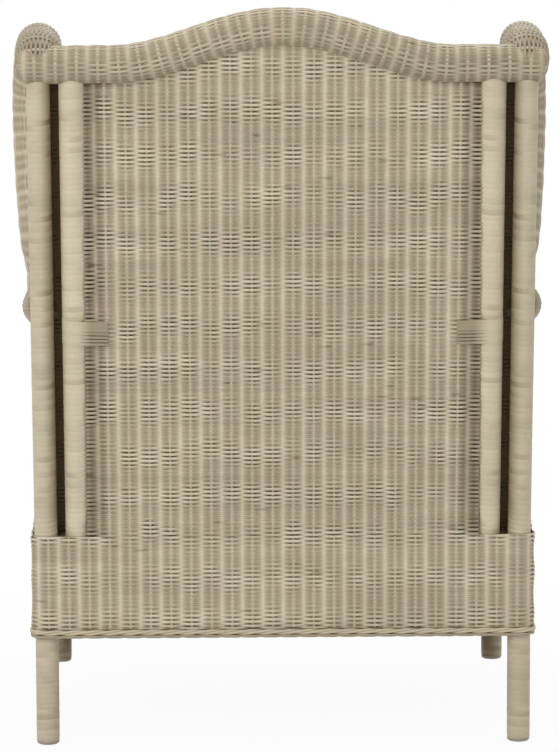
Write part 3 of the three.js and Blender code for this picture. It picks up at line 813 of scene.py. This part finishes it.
class Loop:
    def __init__(self, radius):
        self.line = seatLoop(radius)
        self.run = runAlong(self.line)
        half = 2 * skirt["cornerSteps"]
        self.length = self.run[-1]
        self.ends = [self.run[number] for number in (0, half - 1, half, 2 * half - 1, -1)]
        ahead = unit(np.diff(self.line, axis=0))
        out = np.stack([ahead[:, 1], -ahead[:, 0], ahead[:, 2]], 1)
        joined = np.concatenate([[out[-1] + out[0]], out[:-1] + out[1:], [out[-1] + out[0]]])
        self.out = unit(joined)

    def at(self, s, z):
        place = valuesAt(s, self.run, self.line)
        place[:, 2] = z
        return place, unit(valuesAt(s, self.run, self.out))

    # The four sides of the seat, from the rear round by the right
    def stretches(self, piece):
        names = ("rear_" + piece, "side_" + piece + "_right", "front_" + piece, "side_" + piece + "_left")
        return zip(names, self.ends[:-1], self.ends[1:])


def makeSkirt():
    loop = Loop(skirt["radius"])
    half = weave["stakePitch"] / 2
    rear = loop.ends[1] / 2 + centredStakes(backSheet["stakesEachSide"] + skirt["stakesBeyond"])
    stakes = np.concatenate([rear, stakesBetween(rear[-1] + half, loop.length + rear[0] - half)])
    rows = rowsBetween(skirtBottom, deckTop)

    # The lowest rows above the border are darkened with painted shade
    def footShade(u, v):
        return skirt["footShade"] * clipped(1 - (v - skirtBottom) / skirt["footHeight"])
    for node, low, high in loop.stretches("skirt"):
        def spanAt(v):
            return low, high
        strands = wovenStrands(loop.at, rows, spanAt, stakes, seed=83, reach=skirt["reach"], turned=1,
                               shade=footShade)
        dress(strandMesh(node + "_weave", strands, weaveCane), "rattan_weave", node)


def ropeStrands(loop, z, low, high, hand, ropeRadius, caneRadius, seed, shade=0.0):
    rng = np.random.default_rng(seed)
    s = np.linspace(low, high, stepsFor(high - low, border["step"]))
    place, out = loop.at(s, z)
    up = repeated((0, 0, 1), len(s))
    strands = []
    for cane in range(border["canes"]):
        turn = hand * 2 * math.pi * s / border["lay"] + cane * 2 * math.pi / border["canes"]
        away = out * np.cos(turn)[:, None] + up * np.sin(turn)[:, None]
        # Painted shade on the side of each cane that turns inwards, and on the whole lower rope
        hidden = shade + clipped(-np.cos(turn)) * border["hiddenShade"]
        strands.append(strand(place + away * ropeRadius, away, caneRadius, caneRadius,
                              rng.uniform(*border["tone"]), hidden, section=roundSection))
    return strands


# Border: a thick rope over a thin one, plaited round a flat core that is painted dark as shade
def makeBorder():
    loop = Loop(border["radius"])
    core = Loop(border["radius"] - border["coreInset"])
    upper = borderTop - border["upperRope"] - border["upperCane"]
    lower = borderBottom + border["lowerRope"] + border["lowerCane"]
    middle = (borderTop + borderBottom) / 2 + border["coreRise"]
    for node, low, high in loop.stretches("skirt_border"):
        strands = ropeStrands(loop, upper, low, high, 1, border["upperRope"], border["upperCane"], seed=5)
        strands += ropeStrands(loop, lower, low, high, -1, border["lowerRope"], border["lowerCane"], seed=6,
                               shade=border["lowerShade"])
        s = np.linspace(low, high, stepsFor(high - low, border["coreStep"]))
        place, out = core.at(s * (core.length / loop.length), middle)
        strands.append(strand(place, out, border["coreWide"], border["coreDeep"], border["coreTone"],
                              border["coreShade"]))
        dress(strandMesh(node + "_plait", strands, plaitCane), "rattan_plait", node)


makeSkirt()
makeBorder()


# Posts, legs and uprights wound with flat peel
peel = {"pitch": 7.6 * mm, "halfThick": 0.85 * mm, "stepsPerTurn": 20, "overlap": 1.02, "widthWander": 0.06,
        "wobble": 0.22 * mm, "wobbleTurn": 4.3, "levelSink": 0.35 * mm, "levelEase": 0.5,
        "toneRange": 0.8, "toneNear": 0.35, "toneNearTurn": 7.0, "toneFarTurn": 34.0, "turnTone": 0.22,
        "spotShade": 0.34, "spotTurn": 2.1, "spotFrom": 0.66, "shadeRise": 30 * mm,
        "uprightBuild": 2.4 * mm, "uprightForward": 1.2 * mm, "belowCorner": 8 * mm, "postBend": 18 * mm}
# Painted shade on each binding: at its rear, and on its inner side, how far that reaches round and from what
# height; the uprights are paler
peelShade = {"rear_post": {"innerShade": 0.66, "innerReach": 0.9, "innerFrom": deckTop},
             "front_leg": {"rearShade": 0.52, "innerShade": 0.62, "innerReach": 1.3},
             "back_upright": {"paler": 0.36}}
uprightRadius = boundRadius + peel["uprightBuild"]


# It begins with a level turn, and the next ones climb over it
def woundStrand(path, radius, seed, rearShade=0.0, innerShade=0.0, innerReach=1.0, innerFrom=0.0, paler=0.0):
    turns = path.length / peel["pitch"]
    angle = np.linspace(0, turns * 2 * math.pi, int(turns * peel["stepsPerTurn"]))
    turn = angle / (2 * math.pi)
    place, out = path.around(peel["pitch"] * (0.5 + np.maximum(turn - 1, 0)), angle)
    wobble = wavering(seed, peel["wobbleTurn"], angle)
    ofTurn = np.random.default_rng(seed + 4).random(int(turns) + 2)[turn.astype(int)]
    tone = peel["toneNear"] * wavering(seed + 1, peel["toneNearTurn"], angle)
    tone = tone + (1 - peel["toneNear"]) * wavering(seed + 2, peel["toneFarTurn"], angle)
    tone = clipped(peel["toneRange"] * tone + peel["turnTone"] * (ofTurn - 0.5) + paler)
    spot = (wavering(seed + 3, peel["spotTurn"], angle) - peel["spotFrom"]) / (1 - peel["spotFrom"])
    # Dark spots in the peel, and painted shade on the rear side, where the front legs face under the seat
    shadeAndMarks = peel["spotShade"] * clipped(spot) + rearShade * clipped(out[:, 1])
    # The side towards the middle of the chair lies in shade, painted on
    above = clipped((place[:, 2] - innerFrom) / peel["shadeRise"])
    inner = clipped((innerReach - 1 - out[:, 0]) / innerReach)
    shadeAndMarks = clipped(shadeAndMarks + innerShade * above * inner)
    lift = radius - peel["halfThick"] + (wobble - 0.5) * peel["wobble"]
    lift = lift - peel["levelSink"] * clipped(2 * math.pi + peel["levelEase"] - angle)
    wide = peel["pitch"] / 2 * peel["overlap"] * (1 + peel["widthWander"] * (wobble - 0.5))
    return strand(place + out * lift[:, None], out, wide, peel["halfThick"], tone, shadeAndMarks,
                  section=peelSection)


def makeBindings():
    top = back["cornerHeight"] - peel["belowCorner"]
    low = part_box("back_upright_binding_left")[0].z
    post = bentLine((rearX, rearY, footTop), (rearX, rearY, deckTop), (rearX, backY(top), top),
                    peel["postBend"])
    leg = [(frontX, frontY, z) for z in (footTop, deckTop)]
    upright = [(uprightX, backY(z) - peel["uprightForward"], z) for z in (low, top)]
    for name, line, radius, seed in (("rear_post", post, boundRadius, 101),
                                     ("front_leg", leg, boundRadius, 111),
                                     ("back_upright", upright, uprightRadius, 121)):
        strands = [woundStrand(Path(line, (1, 0, 0)), radius, seed, **peelShade[name])]
        makePair(name + "_peel", strands, peelCane, "rattan_peel", name + "_binding")


makeBindings()


# Lashing: turns of cane round the upright and the first stake of the back
lashing = {"height": 605 * mm, "turns": 7, "pitch": 5.0 * mm, "halfWidth": 2.52 * mm, "halfThick": 0.8 * mm,
           "stepsPerTurn": 56, "stakeRadius": 2.2 * mm, "sink": 0.4 * mm, "slack": 0.3, "shade": 0.5,
           "weaveFrom": 0.2, "tone": 0.45, "toneRange": 0.4, "tonePatch": 30.0}


# A belt round a circle at the origin and a second one
def beltLine(radiusA, centreB, radiusB, steps=240):
    turn = np.linspace(0, 2 * math.pi, steps, endpoint=False)
    circle = np.stack([np.cos(turn), np.sin(turn)], 1)
    onFirst = radiusA >= circle @ centreB + radiusB
    support = np.where(onFirst[:, None], circle * radiusA, centreB + circle * radiusB)
    closed = np.concatenate([support, support[:1]])
    length = runAlong(closed)
    return valuesAt(np.linspace(0, length[-1], lashing["stepsPerTurn"], endpoint=False), length, closed)


def makeLashings():
    z = lashing["height"]
    slope = math.cos(math.radians(back["rake"]))
    rise = np.array([0.0, lean * slope, slope])
    toMiddle, rearward = np.array([-1.0, 0.0, 0.0]), np.array([0.0, slope, -lean * slope])
    share = (z - sheetBottom) / (back["cornerHeight"] - sheetBottom)
    setBack = backSheet["outerSeat"] + (backSheet["outerTop"] - backSheet["outerSeat"]) * share
    stake = np.array([uprightX - backStakes[-1], setBack + peel["uprightForward"]])
    belt = beltLine(uprightRadius - lashing["sink"], stake, lashing["stakeRadius"] + lashing["halfThick"])
    index = np.arange(lashing["turns"] * lashing["stepsPerTurn"])
    flat = belt[index % lashing["stepsPerTurn"]]
    climb = (index / lashing["stepsPerTurn"] - lashing["turns"] / 2) * lashing["pitch"]
    centre = np.array([uprightX, backY(z) - peel["uprightForward"], z])
    points = centre + flat[:, :1] * toMiddle + flat[:, 1:] * rearward + climb[:, None] * rise
    away = flat - clipped(flat[:, :1] / stake[0]) * stake
    out = unit(away[:, :1] * toMiddle + away[:, 1:] * rearward)
    overWeave = clipped(flat[:, 0] / uprightRadius - lashing["weaveFrom"])
    varied = lashing["toneRange"] * wavering(131, lashing["tonePatch"], index)
    tone = lashing["tone"] + varied * (1 - overWeave)
    # Over the weave the lower turns stand apart
    wide = lashing["halfWidth"] * (1 - lashing["slack"] * overWeave * (climb < 0))
    # Painted shade on the turns where they lie over the weave
    turns = [strand(points, out, wide, lashing["halfThick"], tone, lashing["shade"] * overWeave,
                    section=peelSection)]
    makePair("upright_lashing_cane", turns, peelCane, "rattan_peel", "upright_lashing")


makeLashings()


# Seat deck: broad strips of peel, plainly woven over the slats
deck = {"pitch": 15 * mm, "halfWidth": 7.1 * mm, "halfThick": 0.9 * mm, "lift": 1.3 * mm, "pointsPerStrip": 2,
        "leastPoints": 8, "clear": 1 * mm, "darkRear": 36 * mm, "darkFade": 8 * mm, "darkShade": 0.85,
        "tone": 0.35, "toneWander": (-0.2, 0.3)}


def deckStrip(across, low, high, number, alongX, rng):
    count = max(deck["leastPoints"], round((high - low) / deck["pitch"] * deck["pointsPerStrip"]))
    run = np.linspace(low, high, count)
    z = (deckTop + deckBottom) / 2 + deck["lift"] * np.cos(math.pi * (run / deck["pitch"] + number))
    fixed = np.full(count, across)
    points = np.stack([run, fixed, z] if alongX else [fixed, run, z], 1)
    # Painted shade towards the rear of the mat, under the back
    shadeAndMarks = np.clip((points[:, 1] - rearY + deck["darkRear"]) / deck["darkFade"], 0, deck["darkShade"])
    tone = clipped(deck["tone"] + rng.uniform(*deck["toneWander"]))
    return strand(points, repeated((0, 0, 1), count), deck["halfWidth"], deck["halfThick"], tone, shadeAndMarks,
                  section=peelSection)


# Strips beside the posts and legs stop short of them
def makeDeck():
    low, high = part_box("seat_deck")
    rng = np.random.default_rng(141)
    clear = boundRadius + deck["halfWidth"]

    def inset(beside):
        return (boundRadius if beside else -boundRadius) + deck["clear"]
    strips = []
    across = np.arange(low.y + deck["halfWidth"], high.y - deck["halfWidth"], deck["pitch"])
    for number, y in enumerate(across):
        half = rearX - inset(min(abs(y - rearY), abs(y - frontY)) < clear)
        strips.append(deckStrip(y, -half, half, number, True, rng))
    columns = math.floor((rearX + boundRadius - deck["halfWidth"]) / deck["pitch"])
    for number in range(-columns, columns + 1):
        x = number * deck["pitch"]
        short = inset(abs(x) > rearX - clear)
        strips.append(deckStrip(x, frontY + short, rearY - short, number + 1, False, rng))
    dress(strandMesh("seat_deck_mat", strips, peelCane), "rattan_weave", "seat_deck")


makeDeck()


# Rails and slats: bare rattan poles with their knuckles
pole = {"step": 7 * mm, "tonePatch": 90 * mm, "knuckleEvery": 190 * mm, "knuckleFirst": (0.2, 0.8),
        "knuckleRise": 0.05, "knuckleReach": 5 * mm, "knuckleSteps": (-1, -0.3, 0, 0.3, 1),
        "ringShade": 0.45, "ringSharp": 3}
poleLook = dict(weaveLook, grey=(0.40, 0.30, 0.15, 1), pale=(0.62, 0.49, 0.28, 1), rosy=(0.52, 0.37, 0.20, 1),
                green=(0.55, 0.47, 0.26, 1), fibreScale=(60.0, 900.0, 1.0), rough=(0.36, 0.55), gloss=0.45)
bareCane = caneMaterial("bare_rattan", poleLook)


def poleStrand(start, end, radius, seed):
    start, end = np.array(start, float), np.array(end, float)
    length = np.linalg.norm(end - start)
    first = np.random.default_rng(seed).uniform(*pole["knuckleFirst"]) * pole["knuckleEvery"]
    knuckles = np.arange(first, length, pole["knuckleEvery"])
    even = np.linspace(0, length, stepsFor(length, pole["step"]))
    beside = [knuckles + shift * pole["knuckleReach"] for shift in pole["knuckleSteps"]]
    run = np.sort(np.concatenate([even] + beside))
    run = run[(run >= 0) & (run <= length)]
    near = np.abs(run[:, None] - knuckles[None, :]).min(axis=1) / pole["knuckleReach"]
    thick = radius * (1 - pole["knuckleRise"] + pole["knuckleRise"] * clipped(1 - near))
    ring = pole["ringShade"] * clipped(1 - pole["ringSharp"] * near)
    points = start + (end - start) * (run / length)[:, None]
    tone = wavering(seed, pole["tonePatch"], run)
    return strand(points, repeated((0, 0, 1), len(run)), thick, thick, tone, ring, section=coreSection)


def makePoles():
    across = ["rear_seat_rail", "front_seat_rail", "rear_lower_rail", "front_lower_rail", "back_mid_rail"]
    across += ["seat_slat_" + str(number) for number in range(1, 5)]
    for seed, node in enumerate(across, 150):
        low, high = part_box(node)
        middle = (low + high) / 2
        start, end = ((x, middle.y, middle.z) for x in (low.x, high.x))
        strands = [poleStrand(start, end, (high.z - low.z) / 2, seed)]
        dress(strandMesh(node + "_pole", strands, bareCane), "rattan_pole", node)
    for seed, node in enumerate(("side_seat_rail", "side_lower_rail"), 170):
        low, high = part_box(node + "_left")
        radius = (high.z - low.z) / 2
        front = (high.x - radius, low.y, (low.z + high.z) / 2)
        rear = (low.x + radius, high.y, (low.z + high.z) / 2)
        makePair(node + "_pole", [poleStrand(front, rear, radius, seed)], bareCane, "rattan_pole", node)


makePoles()


# A plain mottled material. Its grain is a sum of noises, each with its stretch, scale and detail.
# A tint has the scale of its noise, or 0 for the grain, the values it comes in between, its share and colour.
def mottledMaterial(name, look):
    material, tree, shader = newMaterial(name)
    place = objectPlace(tree)
    grain = 0.0
    for stretch, scale, detail in look["grain"]:
        grain = combine(tree, "ADD", grain, noise(tree, stretched(tree, place, stretch), scale, detail))
    colour = look["base"]
    for scale, low, high, share, tint in look["tints"]:
        cloud = noise(tree, place, scale) if scale else grain
        colour = blendColour(tree, remap(tree, cloud, low, high, 0, share), colour, tint)
    rough = remap(tree, grain, *look["roughOver"], *look["rough"])
    normal = bump(tree, grain, look["depth"], look["height"])
    feedAll(tree, shader, {"Base Color": colour, "Roughness": rough, "Normal": normal})
    shader.inputs["Sheen Weight"].default_value = look["sheen"]
    shader.inputs["Specular IOR Level"].default_value = look["gloss"]
    return material


# The poles inside the bindings and rolls, of which hardly anything shows, and the glides
innerPoleLook = {"grain": [((60.0, 60.0, 60.0), 4.0, 5.0)], "base": (0.46, 0.34, 0.17, 1),
                 "tints": [(11.0, 0.35, 0.7, 1, (0.60, 0.47, 0.27, 1)),
                           (0, 0.55, 0.75, 0.5, (0.25, 0.17, 0.09, 1))],
                 "roughOver": (0.3, 0.7), "rough": (0.4, 0.6), "depth": 0.2, "height": 0.4 * mm,
                 "sheen": 0.0, "gloss": 0.5}
glideLook = dict(innerPoleLook, grain=[((1.0, 1.0, 1.0), 900.0, 3.0)], base=(0.30, 0.265, 0.205, 1),
                 tints=[(0, 0, 1, 1, (0.40, 0.355, 0.28, 1))], rough=(0.42, 0.6), depth=0.15, height=0.1 * mm)
barePole = mottledMaterial("bare_pole", innerPoleLook)
mouldedGlide = mottledMaterial("moulded_glide", glideLook)

# Feet: a moulded glide as wide as the binding, rounded underneath, with its rings in millimetres
foot = {"radius": (12.6, 13.8, 15.0, 15.8, 16.1, 16.1), "height": (0.0, 0.3, 1.1, 2.4, 3.8, 5.0), "sides": 40}


def makeFoot(node):
    middle = middleOf(node)
    count = foot["sides"]
    turn = np.arange(count) * 2 * math.pi / count
    places = [(middle.x + r * mm * math.cos(a), middle.y + r * mm * math.sin(a), z * mm)
              for r, z in zip(foot["radius"], foot["height"]) for a in turn]
    faces = []
    for low in range(0, len(places) - count, count):
        for k in range(count):
            after = (k + 1) % count
            faces.append((low + k, low + after, low + count + after, low + count + k))
    faces.append(tuple(range(count))[::-1])
    faces.append(tuple(range(len(places) - count, len(places))))
    mesh = bpy.data.meshes.new(node + "_foot")
    mesh.from_pydata(places, [], faces)
    mesh.shade_smooth()
    mesh.materials.append(mouldedGlide)
    dress(addObject(node + "_foot", mesh), "nylon_glide", node)


for corner in ("rear", "front"):
    for side in dict(sides):
        makeFoot(corner + "_glide_" + side)

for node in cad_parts.values():
    if not node.hide_render:
        node.data.materials.clear()
        node.data.materials.append(barePole)
print("plain nodes finished")


# Seat cushion: a filled cover, swelled as cloth
cushion = {"inset": 9 * mm, "edge": 84 * mm, "crown": 24 * mm, "drawIn": 8 * mm, "cells": 40,
           "bottom": 1.5 * mm, "voxel": 6 * mm, "pressure": 4.0, "quality": 4, "frames": 20, "cap": 14 * mm,
           "floorGap": 0.4 * mm, "pipingRadius": 3.4 * mm, "pipingPoints": 220, "pipingSides": 8,
           "pipingProud": 0.3, "pipingTone": 0.5, "easings": 5}
linenLook = {"grain": [((1400.0, 90.0, 300.0), 1.0, 2.0), ((90.0, 1400.0, 1400.0), 1.0, 2.0)],
             "base": (0.56, 0.50, 0.40, 1),
             "tints": [(0, 0.75, 1.3, 1, (0.74, 0.69, 0.59, 1)),
                       (9.0, 0.4, 0.7, 0.25, (0.66, 0.58, 0.46, 1))],
             "roughOver": (0.7, 1.3), "rough": (0.78, 0.95), "depth": 0.45, "height": 0.35 * mm,
             "sheen": 0.25, "gloss": 0.2}
linenCover = mottledMaterial("linen_cover", linenLook)


def placesOf(mesh):
    places = np.zeros(len(mesh.vertices) * 3)
    mesh.vertices.foreach_get("co", places)
    return places.reshape(-1, 3)


def setPlaces(mesh, places):
    mesh.vertices.foreach_set("co", places.ravel())
    mesh.update()


def cushionShape():
    low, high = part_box("seat_cushion")
    halfX, halfY = (high.x - low.x) / 2, (high.y - low.y) / 2
    centre = (low + high) / 2
    bpy.ops.mesh.primitive_cube_add(size=2)
    made = bpy.context.object
    made.name = "seat_cushion_cover"
    bpy.ops.object.mode_set(mode="EDIT")
    bpy.ops.mesh.select_all(action="SELECT")
    bpy.ops.mesh.subdivide(number_cuts=cushion["cells"])
    bpy.ops.object.mode_set(mode="OBJECT")
    u, v, w = placesOf(made.data).T
    halfWide = halfX - cushion["inset"] - cushion["drawIn"] * (1 - v * v)
    halfLong = halfY - cushion["inset"] - cushion["drawIn"] * (1 - u * u)
    crown = cushion["crown"] * np.sqrt(clipped((1 - u ** 2) * (1 - v ** 2)))
    z = low.z + cushion["bottom"] + (w + 1) / 2 * (cushion["edge"] + crown)
    setPlaces(made.data, np.stack([centre.x + u * halfWide, centre.y + v * halfLong, z], 1))
    return made, low, high


def swell(made, floorZ):
    made.data.remesh_voxel_size = cushion["voxel"]
    bpy.context.view_layer.objects.active = made
    bpy.ops.object.voxel_remesh()
    rest = placesOf(made.data)
    cloth = made.modifiers.new("cloth", "CLOTH")
    cloth.settings.use_pressure = True
    cloth.settings.uniform_pressure_force = cushion["pressure"]
    cloth.settings.effector_weights.gravity = 0
    cloth.settings.quality = cushion["quality"]
    scene = bpy.context.scene
    for number in range(1, cushion["frames"] + 1):
        scene.frame_set(number)
    graph = bpy.context.evaluated_depsgraph_get()
    shift = placesOf(made.evaluated_get(graph).data) - rest
    far = np.linalg.norm(shift, axis=1, keepdims=True)
    result = rest + shift * np.minimum(1, cushion["cap"] / np.maximum(far, 1e-9))
    result[:, 2] = np.maximum(result[:, 2], floorZ)
    made.modifiers.remove(cloth)
    scene.frame_set(1)
    setPlaces(made.data, result)


def makeCushion():
    made, low, high = cushionShape()
    swell(made, low.z + cushion["floorGap"])
    made.data.shade_smooth()
    smoothing = made.modifiers.new("smoothing", "SUBSURF")
    smoothing.levels = 1
    smoothing.render_levels = 1
    made.data.materials.clear()
    made.data.materials.append(linenCover)
    dress(made, "cushion_fabric", "seat_cushion", body="cushion")
    return made, low, high


# Piping in the seams along the top and the bottom edge
def makePiping(made, low, high):
    turn = np.arange(cushion["pipingPoints"]) * 2 * math.pi / cushion["pipingPoints"]
    reach = 1 / np.maximum(np.abs(np.cos(turn)), np.abs(np.sin(turn)))
    halfX, halfY = (high.x - low.x) / 2, (high.y - low.y) / 2
    centre = (low + high) / 2
    radius = cushion["pipingRadius"]
    section = ringSection(cushion["pipingSides"])
    strands = []
    for height in (low.z + radius + cushion["floorGap"], low.z + cushion["edge"]):
        line = []
        for a, r in zip(turn, reach):
            edge = (centre.x + halfX * r * math.cos(a), centre.y + halfY * r * math.sin(a), height)
            line.append(made.closest_point_on_mesh(Vector(edge))[1])
        line = np.array(line)
        line[:, 2] = height
        for easing in range(cushion["easings"]):
            line = (np.roll(line, 1, 0) + 2 * line + np.roll(line, -1, 0)) / 4
        out = unit(line - np.array([centre.x, centre.y, height]))
        strands.append(strand(line + out * cushion["pipingProud"] * radius, out, radius, radius,
                              cushion["pipingTone"], closed=True, section=section))
    dress(strandMesh("seat_cushion_piping", strands, linenCover), "cushion_fabric", body="cushion")


makePiping(*makeCushion())


# Studio: pale floor, white surroundings, soft light
studio = {"floorSize": 14.0, "floorColour": (0.80, 0.80, 0.80, 1), "floorRough": 0.9, "floorGloss": 0.1,
          "fade": (0.45, 1.3), "nearWhite": 0.94, "worldLight": 0.68, "aim": (0, 0, 0.5)}
# Place, size and power of each lamp
lamps = (("lamp_rear", (1.9, 3.2, 2.5), 2.2, 48.0), ("lamp_front", (-0.8, -3.2, 2.8), 2.4, 40.0),
         ("lamp_top", (0.0, 0.2, 3.6), 2.6, 22.0))


# 1 for the rays that see the surroundings directly or as a reflection
def seenDirectly(tree):
    path = addNode(tree, "ShaderNodeLightPath")
    seen = path.outputs["Is Camera Ray"]
    for ray in ("Is Glossy Ray", "Is Transmission Ray"):
        seen = combine(tree, "MAXIMUM", seen, path.outputs[ray])
    return seen


# The floor takes shadows near the chair and turns white away from it
def makeFloor():
    bpy.ops.mesh.primitive_grid_add(x_subdivisions=4, y_subdivisions=4, size=studio["floorSize"])
    floor = bpy.context.object
    floor.name = "floor"
    material, tree, shader = newMaterial("pale_floor")
    shader.inputs["Base Color"].default_value = studio["floorColour"]
    shader.inputs["Roughness"].default_value = studio["floorRough"]
    shader.inputs["Specular IOR Level"].default_value = studio["floorGloss"]
    distance = addNode(tree, "ShaderNodeVectorMath", operation="LENGTH")
    feed(tree, distance, 0, addNode(tree, "ShaderNodeNewGeometry").outputs["Position"])
    far = remap(tree, distance.outputs["Value"], *studio["fade"], studio["nearWhite"], 1)
    share = combine(tree, "MULTIPLY", far, seenDirectly(tree))
    white = addNode(tree, "ShaderNodeEmission").outputs["Emission"]
    mix = feedAll(tree, addNode(tree, "ShaderNodeMixShader"), {0: share, 1: shader.outputs["BSDF"], 2: white})
    output = next(n for n in tree.nodes if n.type == "OUTPUT_MATERIAL")
    feed(tree, output, "Surface", mix.outputs["Shader"])
    floor.data.materials.append(material)


def makeWorld():
    world = bpy.data.worlds.new("studio")
    bpy.context.scene.world = world
    world.use_nodes = True
    tree = world.node_tree
    background = next(n for n in tree.nodes if n.type == "BACKGROUND")
    strength = remap(tree, seenDirectly(tree), 0, 1, studio["worldLight"], 1.0)
    feedAll(tree, background, {"Color": (1, 1, 1, 1), "Strength": strength})


def makeLamps():
    for name, place, size, power in lamps:
        data = bpy.data.lights.new(name, "AREA")
        data.size = size
        data.energy = power
        lamp = addObject(name, data)
        lamp.location = place
        lamp.rotation_mode = "QUATERNION"
        lamp.rotation_quaternion = (Vector(studio["aim"]) - Vector(place)).to_track_quat("-Z", "Y")


makeFloor()
makeWorld()
makeLamps()
bpy.context.scene.view_settings.view_transform = "Standard"
print("studio set")

shown = [o for o in bpy.context.scene.objects if o.type == "MESH" and not o.hide_render]
print("triangles:", sum(sum(len(p.vertices) - 2 for p in o.data.polygons) for o in shown))
